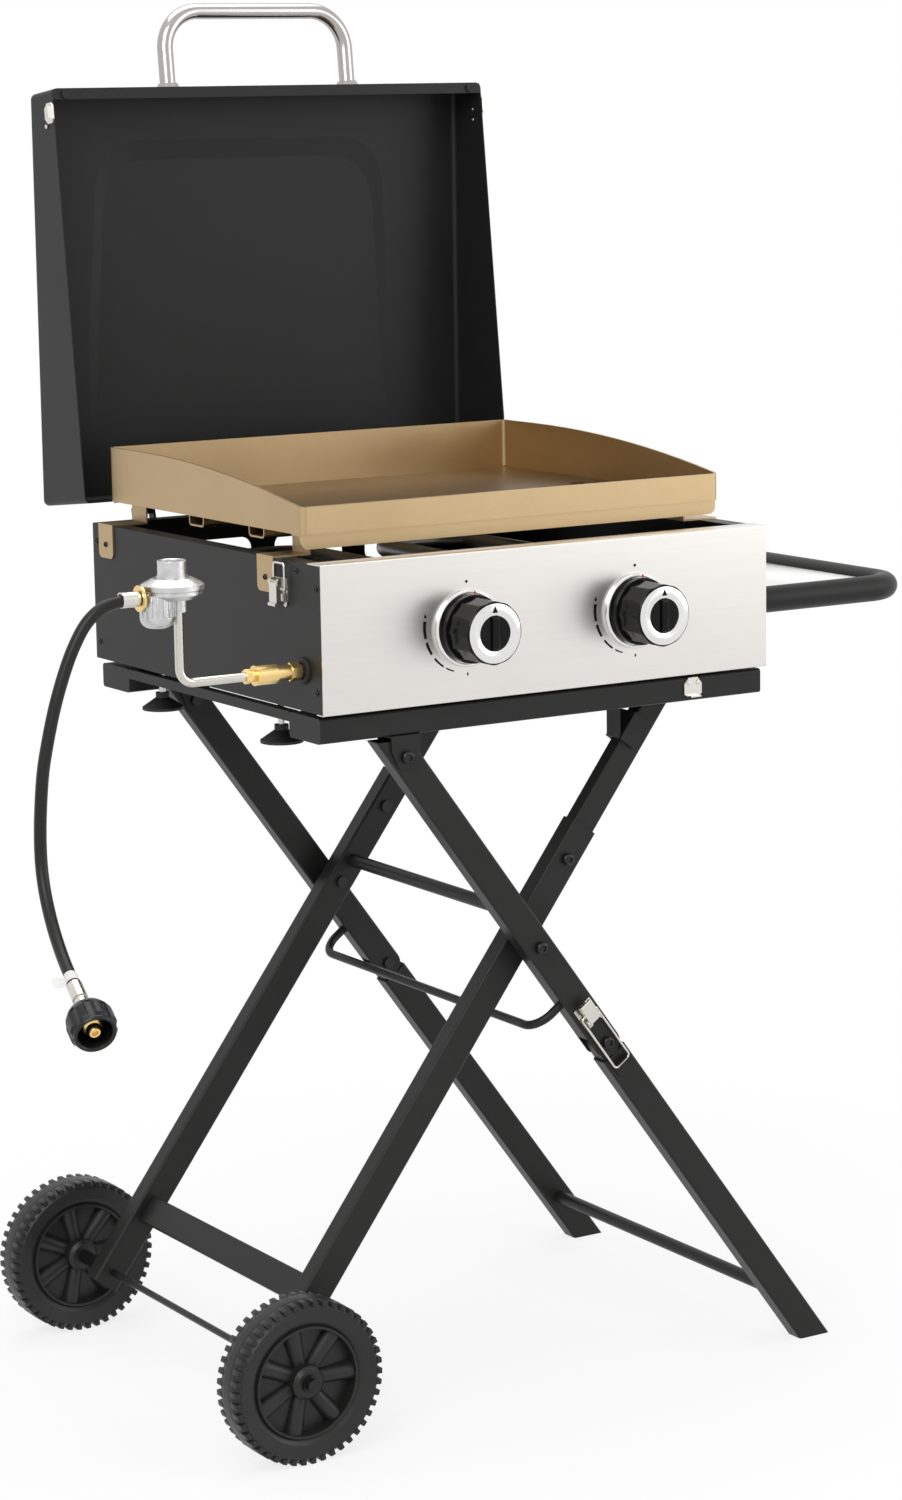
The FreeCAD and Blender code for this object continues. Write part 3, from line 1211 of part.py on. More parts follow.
# Moulded wheel: a rounded tread on a thin web, with barrel spokes round a long hub.
def make_wheels():
    half = "wheel_width / 2"
    for label, y in (("wheel_front", WHEEL_FRONT), ("wheel_rear", WHEEL_BACK)):
        with working_at(Vector(AXLE.x, y, AXLE.z), ALONG_Y):
            body = new_body()
            rim = "wheel_rim"
            inner_side = [("hub_radius - 4", "wheel_web / 2"), (rim, "wheel_web / 2"), (rim, f"{half} - 5"),
                          (f"{rim} + 0.5", f"{half} - 4"), (f"{rim} + wheel_lip", f"{half} - 4"),
                          (f"{rim} + wheel_lip + 1", f"{half} - 7"), (f"{rim} + 10", f"{half} - 3"),
                          ("wheel_radius - wheel_shoulder - 3", half),
                          ("wheel_radius - wheel_shoulder", f"{half} - 3"),
                          ("wheel_radius - 1", f"{half} - 11"), ("wheel_radius", "5")]
            section = [(radius, f"-({height})") for radius, height in inner_side]
            section += reversed(inner_side)
            turned(body, [section])
            hub = new_body()
            turned(hub, [[("axle_radius + shaft_fit", f"-{half}"), ("hub_radius - 5", f"-{half}"),
                          ("hub_radius - 1", f"-{half} + 4"), ("hub_radius", "-6"), ("hub_radius", "6"),
                          ("hub_radius - 1", f"{half} - 4"), ("hub_radius - 5", half),
                          ("axle_radius + shaft_fit", half)]])
            spokes = []
            for number in range(int(s.spoke_count)):
                turn = 2 * math.pi * number / s.spoke_count
                out = Vector(math.cos(turn), math.sin(turn), 0)
                start = s.hub_radius - 3
                spoke_length = str(s.wheel_rim - start + 2)
                spokes.append(cone("spoke_hub_radius", "spoke_radius", spoke_length, out * start,
                                   Rotation(Z, out)))
            bore = cylinder("axle_radius + shaft_fit", "wheel_width + 4",
                            Vector(0, 0, -s.wheel_width / 2 - 2))
            node(label, cut(fuse(body, hub, *spokes), bore))


def make_brackets():
    brackets = []
    bolts = []
    clips = []
    web_top = -s.pan_drop - s.rail_height
    thick = s.ear_sheet
    for front in (s.leg_front, OUTER_BACK):
        low = front - s.side_gap - thick
        width = s.leg_depth + 2 * s.side_gap + 2 * thick
        pieces = [box("ear_width", str(width), "ear_sheet",
                      Vector(s.pivot_x - s.ear_width / 2, low, web_top - thick))]
        for y in (low, front + s.leg_depth + s.side_gap):
            ear = new_body(Vector(s.pivot_x, y, web_top))
            side = [("-ear_width / 2", "0"), ("ear_width / 2", "0"), ("ear_width / 2", "-16"),
                    ("9", "-ear_drop"), ("-9", "-ear_drop"), ("-ear_width / 2", "-16")]
            pad(ear, "XZ_Plane", [side], "ear_sheet", False, True)
            rounded(ear, "6", lambda e: runs_along(e, Y) and middle_of(e).z < -10)
            pieces.append(ear)
        hole = cylinder("bolt_radius", "90", Vector(s.pivot_x, low - 20, -s.pivot_drop), ALONG_Y)
        brackets.append(cut(fuse(*pieces), hole))
        head = s.bolt_head_height
        at = Vector(s.pivot_x, low - head, -s.pivot_drop)
        bolts.append(fuse(cylinder("bolt_radius", str(width + 2 * head), at, ALONG_Y),
                          cylinder("bolt_head", "bolt_head_height", at, ALONG_Y),
                          cylinder("bolt_head", "bolt_head_height", at + Y * (width + head), ALONG_Y)))
    for front in (INNER_FRONT, INNER_BACK):
        sheet_thick, gap = s.clip_sheet, s.side_gap + 0.1
        length = "clip_high - clip_low"
        with working_at(CROSSING, INNER_TURN):
            face = s.leg_width / 2 + gap
            full = s.leg_depth + 2 * gap + 2 * sheet_thick
            low = front - gap - sheet_thick
            web = box("clip_sheet", str(full), length, Vector(face, low, -s.clip_high))
            cheeks = [box("24", "clip_sheet", length, Vector(face + sheet_thick - 24, y, -s.clip_high))
                      for y in (low, front + s.leg_depth + gap)]
        web_end = CROSSING - DOWN_INNER * s.clip_low + ACROSS_INNER * (face + sheet_thick)
        drop = web_top - web_end.z
        tab = box("clip_sheet", "leg_depth", str(drop), Vector(web_end.x, front, web_end.z))
        pad_top = box("24", "leg_depth", "clip_sheet", Vector(web_end.x - 22, front, web_top - sheet_thick))
        clips.append(fuse(web, *cheeks, tab, pad_top))
    node("pivot_brackets", group(*brackets))
    node("pivot_bolts", group(*bolts))
    node("top_clips", group(*clips))


# Side shelf: one bent tube round a stainless plate; its outer run is the push handle.
def make_shelf():
    z = s.shelf_z
    wall = s.case_width
    outer = wall + s.shelf_reach
    start = wall + s.socket_plate
    near, far = s.shelf_front, s.case_depth - s.shelf_front
    points = [Vector(start, near, z), Vector(outer, near, z), Vector(outer, far, z), Vector(start, far, z)]
    node("shelf_tube", feature(bent_tube(points, [s.shelf_bend] * 2, s.shelf_tube, s.shelf_tube - 1.5)))
    body = new_body(Vector(0, 0, z - 7))
    left, right = "case_width + shelf_start", "case_width + shelf_reach - shelf_tube"
    front, back = "shelf_front + shelf_tube", "case_depth - shelf_front - shelf_tube"
    pad(body, "XY_Plane", [rectangle(left, front, right, back)], "shelf_rim")
    rounded(body, "shelf_bend - shelf_tube + 2",
            lambda e: runs_along(e, Z) and middle_of(e).x > s.case_width + 100)
    inside = rectangle(f"{left} + shelf_sheet", f"{front} + shelf_sheet", f"{right} - shelf_sheet",
                       f"{back} - shelf_sheet")
    pocket(body, "XY_Plane", [inside], "40", False, False, "shelf_rim - shelf_sheet")
    node("shelf_plate", body)
    sockets = []
    for y in (near, far):
        plate = box("socket_plate", "socket_side", "socket_side",
                    Vector(wall, y - s.socket_side / 2, z - s.socket_side / 2))
        at = Vector(start, y, z)
        sleeve = cut(cylinder("shelf_tube + 0.2 + socket_wall", "socket_length", at, ALONG_X),
                     cylinder("shelf_tube + 0.2", "socket_length + 2", Vector(start, y, z), ALONG_X))
        sockets.append(fuse(plate, sleeve))
    node("shelf_sockets", group(*sockets))


make_case()
make_panel()
make_pan()
make_gas_inside()
make_plate()
make_plate_brackets()
make_latches()
make_knobs()
make_regulator()
make_hose()
make_lid()
make_top_frame()
make_feet()
make_outer_legs()
make_inner_legs()
make_wheels()
make_brackets()
make_shelf()
doc.recompute()

for item in doc.Objects:
    assert not {"Invalid", "Error"} & set(item.State), f"{item.Name} failed"
os.makedirs("parts", exist_ok=True)
whole = FreeCAD.BoundBox()
cord = ("gas_hose", "hose_end", "gas_nut")
for label, item in nodes.items():
    shape = item.Shape
    assert not shape.isNull() and shape.isValid() and shape.Solids, f"{label} is not a sound solid"
    shape.exportStep(f"parts/{label}.step")
    if label not in cord:
        whole.add(shape.BoundBox)
print("nodes", len(nodes))
print("low corner", [round(value, 2) for value in (whole.XMin, whole.YMin, whole.ZMin)])
print("high corner", [round(value, 2) for value in (whole.XMax, whole.YMax, whole.ZMax)])
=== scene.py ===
import math

import bpy
from mathutils import Matrix, Quaternion, Vector


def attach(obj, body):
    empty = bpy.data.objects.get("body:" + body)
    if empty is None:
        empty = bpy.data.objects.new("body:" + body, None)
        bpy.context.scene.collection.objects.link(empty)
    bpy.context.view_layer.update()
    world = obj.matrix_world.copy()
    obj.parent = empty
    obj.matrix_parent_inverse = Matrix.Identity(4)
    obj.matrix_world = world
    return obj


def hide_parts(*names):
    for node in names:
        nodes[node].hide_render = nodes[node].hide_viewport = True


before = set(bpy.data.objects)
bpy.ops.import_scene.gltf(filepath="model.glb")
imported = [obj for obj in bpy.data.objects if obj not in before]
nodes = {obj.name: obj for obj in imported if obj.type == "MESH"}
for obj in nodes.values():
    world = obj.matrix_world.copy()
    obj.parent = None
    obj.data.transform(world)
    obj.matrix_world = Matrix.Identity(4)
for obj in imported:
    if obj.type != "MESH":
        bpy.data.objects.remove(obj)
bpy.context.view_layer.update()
scene = bpy.context.scene
print("frame loaded")

headCorner = Vector((-0.332, -0.302, 0.822))  # the case's front left bottom corner


def spot(x, y, z):  # millimetres from the case's corner, as a place in metres
    return headCorner + Vector((x, y, z)) / 1000


# camera at the photograph's angle
photo = {"width": 902, "height": 1500, "focalPixels": 3700.22, "centreX": 447.2, "centreY": 748.48,
         "place": (-1933.1, -3374.0, 643.5), "azimuth": -31.741, "elevation": 9.932, "roll": -0.959}


def makeCamera():
    a, e, r = (math.radians(photo[key]) for key in ("azimuth", "elevation", "roll"))
    back = Vector((math.sin(a) * math.cos(e), -math.cos(a) * math.cos(e), math.sin(e)))
    right = Vector((math.cos(a), math.sin(a), 0))
    up = back.cross(right)
    right, up = right * math.cos(r) + up * math.sin(r), up * math.cos(r) - right * math.sin(r)
    data = bpy.data.cameras.new("camera")
    data.sensor_fit = "VERTICAL"
    data.sensor_height = 36
    data.lens = photo["focalPixels"] / photo["height"] * 36
    data.shift_x = (photo["width"] / 2 - photo["centreX"]) / photo["height"]
    data.shift_y = (photo["centreY"] - photo["height"] / 2) / photo["height"]
    data.clip_end = 60
    camera = bpy.data.objects.new("camera", data)
    turn = Matrix((right, up, back)).transposed().to_4x4()
    camera.matrix_world = Matrix.Translation(spot(*photo["place"])) @ turn
    scene.collection.objects.link(camera)
    scene.camera = camera
    scene.view_settings.view_transform = "Standard"


makeCamera()

# gas hose, on the same points as the solid
hose = {"diameter": 0.0134, "length": 0.504,
        "points": [(-195.5, 40, 138.5), (-228, 40, 138.5), (-255.7, 40, 121.5), (-274, 40, 91.8),
                   (-286.6, 40, 61.8), (-296.9, 40, 31.5), (-304.9, 40, 0.9), (-311.8, 40, -29.7),
                   (-315.3, 40, -60.8), (-317.6, 40, -92.1), (-318.9, 38, -123.3), (-320.5, 30, -148.1),
                   (-323.1, 16, -169.6), (-326.7, -3, -188.9), (-330.8, -25, -205.2), (-335.5, -49, -218.8),
                   (-343.4, -93.3, -240.2)]}


def makeHose():
    data = bpy.data.curves.new("gasHose", "CURVE")
    data.dimensions = "3D"
    line = data.splines.new("NURBS")
    line.points.add(len(hose["points"]) - 1)
    for point, place in zip(line.points, hose["points"]):
        point.co = (*spot(*place), 1)
        point.radius = hose["diameter"] / 2  # the bevel is 1, so that the curve's box is the tube's
    line.order_u = 3
    line.use_endpoint_u = True
    line.resolution_u = 10
    data.bevel_depth = 1
    data.bevel_resolution = 6
    data.use_fill_caps = True
    tube = bpy.data.objects.new("gasHose", data)
    scene.collection.objects.link(tube)
    return tube


gasHose = makeHose()
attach(gasHose, "head")
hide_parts("gas_hose")
print("camera and hose made")


# shader maths
class Wire:  # a socket that takes part in sums
    def __init__(self, paint, socket):
        self.paint = paint
        self.socket = socket

    def sum(self, kind, first, second):
        return self.paint.node("ShaderNodeMath", {"operation": kind}, {0: first, 1: second})

    def __add__(self, other): return self.sum("ADD", self, other)
    def __radd__(self, other): return self.sum("ADD", other, self)
    def __sub__(self, other): return self.sum("SUBTRACT", self, other)
    def __rsub__(self, other): return self.sum("SUBTRACT", other, self)
    def __mul__(self, other): return self.sum("MULTIPLY", self, other)
    def __rmul__(self, other): return self.sum("MULTIPLY", other, self)
    def __truediv__(self, other): return self.sum("DIVIDE", self, other)
    def __gt__(self, other): return self.sum("GREATER_THAN", self, other)
    def __lt__(self, other): return self.sum("LESS_THAN", self, other)
    def clamped(self, low, high): return self.sum("MINIMUM", self.sum("MAXIMUM", self, low), high)


class Paint:  # one material, built node by node
    def __init__(self, name, **constants):
        self.material = bpy.data.materials.new(name)
        self.material.use_nodes = True
        self.tree = self.material.node_tree
        self.shader = self.tree.nodes["Principled BSDF"]
        for label, value in constants.items():
            socket = self.shader.inputs[label.replace("_", " ")]
            socket.default_value = (*value, 1) if isinstance(value, tuple) and len(value) == 3 else value
        self.places = {}

    def node(self, kind, settings=None, inputs=None, output=0):
        made = self.tree.nodes.new(kind)
        for label, value in (settings or {}).items():
            setattr(made, label, value)
        for label, value in (inputs or {}).items():
            if isinstance(value, Wire):
                self.tree.links.new(value.socket, made.inputs[label])
            else:
                made.inputs[label].default_value = value
        return Wire(self, made.outputs[output])

    def coordinates(self, scale=(1, 1, 1)):
        if scale not in self.places:
            if "object" not in self.places:
                self.places["object"] = self.node("ShaderNodeTexCoord", output="Object")
            self.places[scale] = self.node("ShaderNodeMapping", None,
                                           {"Vector": self.places["object"], "Scale": scale})
        return self.places[scale]

    def axis(self, letter):
        if "split" not in self.places:
            self.places["split"] = self.node("ShaderNodeSeparateXYZ", None, {0: self.coordinates()})
        return Wire(self, self.places["split"].socket.node.outputs[letter])

    def noise(self, size, detail=3.0, roughness=0.55, scale=(1, 1, 1)):  # size in metres
        return self.node("ShaderNodeTexNoise", None,
                         {"Vector": self.coordinates(scale), "Scale": 1 / size, "Detail": detail,
                          "Roughness": roughness})

    def cells(self, size):
        return self.node("ShaderNodeTexVoronoi", None, {"Vector": self.coordinates(), "Scale": 1 / size})

    def blend(self, amount, first, second):  # colours
        made = self.tree.nodes.new("ShaderNodeMix")
        made.data_type = "RGBA"
        for socket, value in ((made.inputs[0], amount), (made.inputs[6], first), (made.inputs[7], second)):
            if isinstance(value, Wire):
                self.tree.links.new(value.socket, socket)
            else:
                socket.default_value = (*value, 1) if isinstance(value, tuple) else value
        return Wire(self, made.outputs[2])

    def drive(self, label, wire):
        self.tree.links.new(wire.socket, self.shader.inputs[label])

    def bump(self, height, distance, strength=1.0):
        made = self.node("ShaderNodeBump", None,
                         {"Height": height, "Distance": distance, "Strength": strength})
        self.drive("Normal", made)


def powderCoat(name, tone=(0.0125, 0.0125, 0.012), gloss=0.38):
    paint = Paint(name, Roughness=gloss, Specular_IOR_Level=0.2)
    peel = paint.noise(0.0016, 2)
    cloud = paint.noise(0.14, 4)
    dust = paint.noise(0.006, 5, 0.7)
    light = tuple(channel * 1.5 + 0.006 for channel in tone)
    paint.drive("Base Color", paint.blend(cloud * 0.6 + dust * 0.3 - 0.2, tone, light))
    paint.drive("Roughness", gloss - 0.06 + cloud * 0.14 + dust * 0.06)
    paint.bump(peel, 0.00012, 0.6)
    return paint.material


def brushedSteel(name, tone=(0.75, 0.73, 0.70), along="x", gloss=0.3, depth=0.00006):
    paint = Paint(name, Metallic=1.0, Anisotropic=0.55)
    stretch = {"x": (0.012, 1, 1), "y": (1, 0.012, 1), "z": (1, 1, 0.012)}[along]
    fine = paint.noise(0.00045, 3, 0.6, stretch)
    coarse = paint.noise(0.0032, 4, 0.6, stretch)
    cloud = paint.noise(0.16, 4)
    dark = tuple(channel * 0.84 for channel in tone)
    paint.drive("Base Color", paint.blend(fine * 0.5 + coarse * 0.35 + cloud * 0.15, dark, tone))
    paint.drive("Roughness", gloss - 0.08 + fine * 0.12 + cloud * 0.08)
    paint.bump(fine * 0.7 + coarse * 0.3, depth, 0.5)
    return paint.material


def smoothMetal(name, tone, gloss, metal=1.0, grain=0.0009, depth=0.00002):
    paint = Paint(name, Metallic=metal)
    scuff = paint.noise(grain, 3)
    cloud = paint.noise(0.035, 4)
    dark = tuple(channel * 0.78 for channel in tone)
    paint.drive("Base Color", paint.blend(cloud * 0.7 + scuff * 0.3, dark, tone))
    paint.drive("Roughness", gloss - 0.05 + cloud * 0.1 + scuff * 0.05)
    paint.bump(scuff, depth, 0.5)
    return paint.material


# the cooking floor is darker than the walls
griddle = {"floorX": (19.5, 566.5), "floorY": (71.5, 518.5), "floorZ": (188.5, 192.5),
           "wall": ((0.40, 0.29, 0.157), (0.52, 0.382, 0.222)),
           "floor": ((0.135, 0.087, 0.044), (0.205, 0.134, 0.07))}


def plateSteel():
    paint = Paint("griddleSteel", Metallic=1.0)
    streak = paint.noise(0.0012, 4, 0.6, (0.05, 1, 1))
    cloud = paint.noise(0.085, 5, 0.6)
    spots = paint.noise(0.004, 4, 0.7)
    masks = []
    for letter, corner in zip("ZXY", (headCorner.z, headCorner.x, headCorner.y)):
        low, high = (corner + edge / 1000 for edge in griddle[f"floor{letter}"])
        masks += [paint.axis(letter) > low, paint.axis(letter) < high]
    inside = masks[0]
    for mask in masks[1:]:
        inside = inside * mask
    wall = paint.blend(cloud * 0.75 + spots * 0.25, *griddle["wall"])
    floor = paint.blend(cloud * 0.8 + spots * 0.2, *griddle["floor"])
    paint.drive("Base Color", paint.blend(inside, wall, floor))
    paint.drive("Roughness", 0.26 + cloud * 0.14 + streak * 0.1)
    paint.bump(streak * 0.4 + spots * 0.6, 0.00012, 0.6)
    return paint.material


def moulded(name, tone, gloss, grain=0.0012, depth=0.00006, sheen=0.3):
    paint = Paint(name, Roughness=gloss, Specular_IOR_Level=sheen)
    fine = paint.noise(grain, 2)
    cloud = paint.noise(0.05, 4)
    light = tuple(channel * 1.35 + 0.003 for channel in tone)
    paint.drive("Base Color", paint.blend(cloud * 0.8 + fine * 0.2 - 0.1, tone, light))
    paint.drive("Roughness", gloss - 0.05 + cloud * 0.1)
    paint.bump(fine, depth, 0.6)
    return paint.material


def castZinc():
    paint = Paint("castZinc", Metallic=1.0)
    grain = paint.cells(0.0016)
    cloud = paint.noise(0.012, 5, 0.65)
    paint.drive("Base Color", paint.blend(cloud, (0.40, 0.405, 0.41), (0.78, 0.78, 0.77)))
    paint.drive("Roughness", 0.2 + cloud * 0.2)
    paint.bump(grain * 0.6 + cloud * 0.4, 0.00035, 0.8)
    return paint.material


def twoFinishes(name, first, second, axis, limit, above=True):  # (tone, metal, gloss), split at a limit
    paint = Paint(name, Roughness=0.25)
    past = paint.axis(axis) > limit if above else paint.axis(axis) < limit
    scuff = paint.noise(0.0009, 3)
    cloud = paint.noise(0.02, 4)
    tones = [paint.blend(cloud * 0.7 + scuff * 0.3, tuple(channel * 0.75 for channel in tone), tone)
             for tone, _, _ in (first, second)]
    paint.drive("Base Color", paint.blend(past, *tones))
    paint.drive("Metallic", first[1] + past * (second[1] - first[1]))
    paint.drive("Roughness", first[2] + past * (second[2] - first[2]) + cloud * 0.08)
    paint.bump(scuff, 0.00003, 0.5)
    return paint.material


def hoseRubber():
    paint = Paint("hoseRubber", Roughness=0.34, Specular_IOR_Level=0.25)
    weave = paint.noise(0.0011, 2)
    cloud = paint.noise(0.03, 3)
    paint.drive("Base Color", paint.blend(cloud, (0.008, 0.008, 0.0075), (0.016, 0.016, 0.015)))
    paint.drive("Roughness", 0.28 + cloud * 0.14)
    paint.bump(weave, 0.00008, 0.6)
    return paint.material


paints = {
    "blackCoat": powderCoat("blackPowderCoat"),
    "legCoat": powderCoat("legPowderCoat", (0.0135, 0.013, 0.0125), 0.34),
    "lidCoat": powderCoat("lidPowderCoat", (0.012, 0.012, 0.012), 0.42),
    "panelSteel": brushedSteel("panelSteel"),
    "shelfSteel": brushedSteel("shelfSteel", (0.95, 0.945, 0.93), "y"),
    "burnerSteel": brushedSteel("burnerSteel", (0.42, 0.41, 0.40), "y", 0.4),
    "griddleSteel": plateSteel(),
    "handleSteel": smoothMetal("handleSteel", (0.48, 0.46, 0.45), 0.16),
    "stemSteel": smoothMetal("stemSteel", (0.6, 0.6, 0.6), 0.25),
    "nickel": smoothMetal("nickelPlate", (0.74, 0.715, 0.66), 0.22),
    "chrome": smoothMetal("knobChrome", (0.86, 0.855, 0.84), 0.12),
    "brass": smoothMetal("brass", (0.92, 0.67, 0.29), 0.22),
    "tubeNickel": smoothMetal("tubeNickel", (0.70, 0.68, 0.61), 0.18),
    "castZinc": castZinc(),
    "hoseRubber": hoseRubber(),
    "footRubber": moulded("footRubber", (0.008, 0.008, 0.008), 0.6),
    "knobPlastic": moulded("knobPlastic", (0.003, 0.003, 0.003), 0.14, 0.002, 0.00001, 0.14),
    "nutPlastic": moulded("nutPlastic", (0.006, 0.006, 0.0065), 0.3),
    "wheelPlastic": moulded("wheelPlastic", (0.012, 0.012, 0.0115), 0.4, 0.0011, 0.00012, 0.32),
    "markPaint": moulded("markPaint", (0.004, 0.004, 0.004), 0.6, sheen=0.1),
    "footParts": twoFinishes("footParts", ((0.008, 0.008, 0.008), 0.0, 0.6),
                             ((0.68, 0.67, 0.64), 1.0, 0.22), "Z", headCorner.z - 0.0308),
    "hoseEndMetal": twoFinishes("hoseEndMetal", ((0.74, 0.72, 0.66), 1.0, 0.2),
                                ((0.80, 0.55, 0.20), 1.0, 0.2), "Y", headCorner.y - 0.118, False),
    "redPaint": moulded("redPaint", (0.55, 0.03, 0.025), 0.45),
    "whiteBand": moulded("whiteBand", (0.62, 0.62, 0.60), 0.45),
    "blackScrew": smoothMetal("blackScrew", (0.022, 0.022, 0.022), 0.28, 0.6),
}
print("materials made")


def dress(obj, label):
    slots = obj.data.materials
    if len(slots):
        for i in range(len(slots)):
            slots[i] = paints[label]
    else:
        slots.append(paints[label])


finishNodes = {
    "blackCoat": ["case_shell", "bottom_pan", "lid_hinges", "lid_leaves", "front_rail", "rear_rail",
                  "side_bars", "pivot_brackets", "top_clips", "shelf_tube", "shelf_sockets"],
    "legCoat": ["outer_legs", "lower_legs", "inner_legs", "inner_leg_tops", "inner_bars", "stay_rod"],
    "lidCoat": ["lid_shell"],
    "panelSteel": ["control_panel"],
    "shelfSteel": ["shelf_plate"],
    "burnerSteel": ["burners"],
    "griddleSteel": ["griddle_plate", "grease_lip", "plate_stiffeners", "plate_brackets"],
    "handleSteel": ["lid_handle"],
    "stemSteel": ["valve_stem_left", "valve_stem_right"],
    "nickel": ["latch_bases", "leg_latch_bases", "lid_keepers", "rail_keeper"],
    "brass": ["gas_manifold", "brass_fittings"],
    "tubeNickel": ["outlet_tube"],
    "castZinc": ["regulator_body", "regulator_bonnet"],
    "hoseEndMetal": ["hose_end"],
    "hoseRubber": ["gas_hose"],
    "footRubber": ["lid_bumpers"],
    "knobPlastic": ["knob_left", "knob_right"],
    "nutPlastic": ["gas_nut"],
    "wheelPlastic": ["wheel_front", "wheel_rear"],
    "blackScrew": ["pivot_bolts", "fold_bolts", "axle_and_bolts"],
}
nodeFinish = {name: finish for finish, names in finishNodes.items() for name in names}
for name, obj in nodes.items():
    if name.startswith("foot_"):
        finish = "footParts"
    elif "latch_lever" in name or "latch_bail" in name:
        finish = "nickel"
    else:
        finish = nodeFinish[name]
    dress(obj, finish)
dress(gasHose, "hoseRubber")


# modelling helpers
def clear():
    if bpy.context.object and bpy.context.object.mode != "OBJECT":
        bpy.ops.object.mode_set(mode="OBJECT")
    bpy.ops.object.select_all(action="DESELECT")


def pick(*objs):
    clear()
    for obj in objs:
        obj.select_set(True)
    bpy.context.view_layer.objects.active = objs[0]


def finishPiece(obj, finish, body, smooth=35):
    pick(obj)
    bpy.ops.object.transform_apply(location=True, rotation=True, scale=True)
    bpy.ops.object.shade_smooth_by_angle(angle=math.radians(smooth))
    obj.data.materials.clear()
    obj.data.materials.append(paints[finish])
    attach(obj, body)


def applyAll(obj):
    pick(obj)
    for modifier in list(obj.modifiers):
        bpy.ops.object.modifier_apply(modifier=modifier.name)


def bevelled(obj, width, segments=2, angle=30):
    made = obj.modifiers.new("bevel", "BEVEL")
    made.width = width
    made.segments = segments
    made.limit_method = "ANGLE"
    made.angle_limit = math.radians(angle)
    applyAll(obj)


def lookingAlong(direction):  # turns +Z onto the direction
    return Vector(direction).to_track_quat("Z", "Y")


def joined(name, objs):
    pick(*objs)
    if len(objs) > 1:
        bpy.ops.object.join()
    obj = bpy.context.object
    obj.name = name
    obj.data.name = name
    return obj


# steps are (radius, height) in millimetres, and a profile that ends as it starts is closed
def lathe(name, steps, vertices=48):
    clear()
    closed = steps[0] == steps[-1]
    steps = [(radius / 1000, height / 1000) for radius, height in steps]
    radius, height = steps[0]
    bpy.ops.mesh.primitive_circle_add(vertices=vertices, radius=radius, location=(0, 0, 0),
                                      fill_type="NOTHING" if closed else "NGON")
    obj = bpy.context.object
    obj.name = name
    bpy.ops.object.mode_set(mode="EDIT")
    bpy.ops.mesh.select_all(action="SELECT")
    bpy.ops.transform.translate(value=(0, 0, height))
    for nextRadius, nextHeight in steps[1:]:
        bpy.ops.mesh.extrude_region_move(TRANSFORM_OT_translate={"value": (0, 0, nextHeight - height)})
        ratio = nextRadius / radius
        bpy.ops.transform.resize(value=(ratio, ratio, 1), center_override=(0, 0, 0))
        radius, height = nextRadius, nextHeight
    bpy.ops.mesh.select_all(action="SELECT")
    bpy.ops.mesh.remove_doubles(threshold=0.000001)
    bpy.ops.mesh.normals_make_consistent(inside=False)
    bpy.ops.object.mode_set(mode="OBJECT")
    return obj


def block(name, size, bevel=0.3):  # millimetres
    clear()
    bpy.ops.mesh.primitive_cube_add(size=1, location=(0, 0, 0))
    obj = bpy.context.object
    obj.name = name
    obj.scale = Vector(size) / 1000
    bpy.ops.object.transform_apply(scale=True)
    if bevel:
        bevelled(obj, bevel / 1000)
    return obj


def put(obj, place, direction=(0, 0, 1), turn=0):  # stands the piece's +Z along the direction
    obj.rotation_mode = "QUATERNION"
    obj.rotation_quaternion = lookingAlong(direction) @ Quaternion((0, 0, 1), math.radians(turn))
    obj.location = spot(*place)
    return obj


def twinOf(obj):  # a copy with its own mesh
    twin = obj.copy()
    twin.data = obj.data.copy()
    scene.collection.objects.link(twin)
    return twin


def copies(obj, places):  # a (place, direction) for each copy; the first is the piece itself
    made = [obj] + [twinOf(obj) for _ in places[1:]]
    for thing, how in zip(made, places):
        put(thing, *how)
    return joined(obj.name, made)


def around(x, z, radius, heading):  # a place on a circle that faces the front
    turn = math.radians(heading)
    return x + radius * math.cos(turn), z + radius * math.sin(turn)


# knobs: trim ring, pointer, bezel and dial marks
dial = {"knobX": {"left": 182, "right": 404}, "z": 79, "face": -56.5, "ring": (19.2, 32.6),
        "bezel": (38.6, 42.5), "pointer": 25, "dot": 50.7, "lowFlame": 51.2, "highFlame": (55.5, 163),
        "red": (39.4, 80), "redStand": -5.6}
arc = {"from": (153, 55.8), "to": (258, 48.6), "step": 4.1, "every": 4, "stand": -0.08,
       "dashes": [(170, 188, 3.6), (195, 211, 3.0), (218, 232, 2.2), (239, 251, 1.5)]}


def makeKnobTrim(side):
    x, z = dial["knobX"][side], dial["z"]
    inner, outer = dial["ring"]
    ring = lathe(f"knobRing{side}", [(inner, 0), (inner + 0.2, 0.7), (inner + 0.7, 1), (outer - 0.7, 1),
                                     (outer - 0.1, 0.6), (outer, 0), (inner, 0)], 72)
    finishPiece(put(ring, (x, dial["face"], z), (0, -1, 0)), "chrome", f"knob_{side}")
    pointer = lathe(f"knobPointer{side}", [(4.4, 0), (4.4, 0.25)], 3)
    pointer.scale = (0.9, 1.15, 1)
    put(pointer, (x, dial["face"] - 1, z + dial["pointer"]), (0, -1, 0))
    finishPiece(pointer, "markPaint", f"knob_{side}", 20)
    near, far = dial["bezel"]
    bezel = lathe(f"knobBezel{side}", [(near, 0), (near, 4.6), (near + 1.2, 6), (far - 1, 5.2),
                                       (far - 0.2, 4), (far, 0), (near, 0)], 96)
    finishPiece(put(bezel, (x, 0, z), (0, -1, 0)), "chrome", "head")


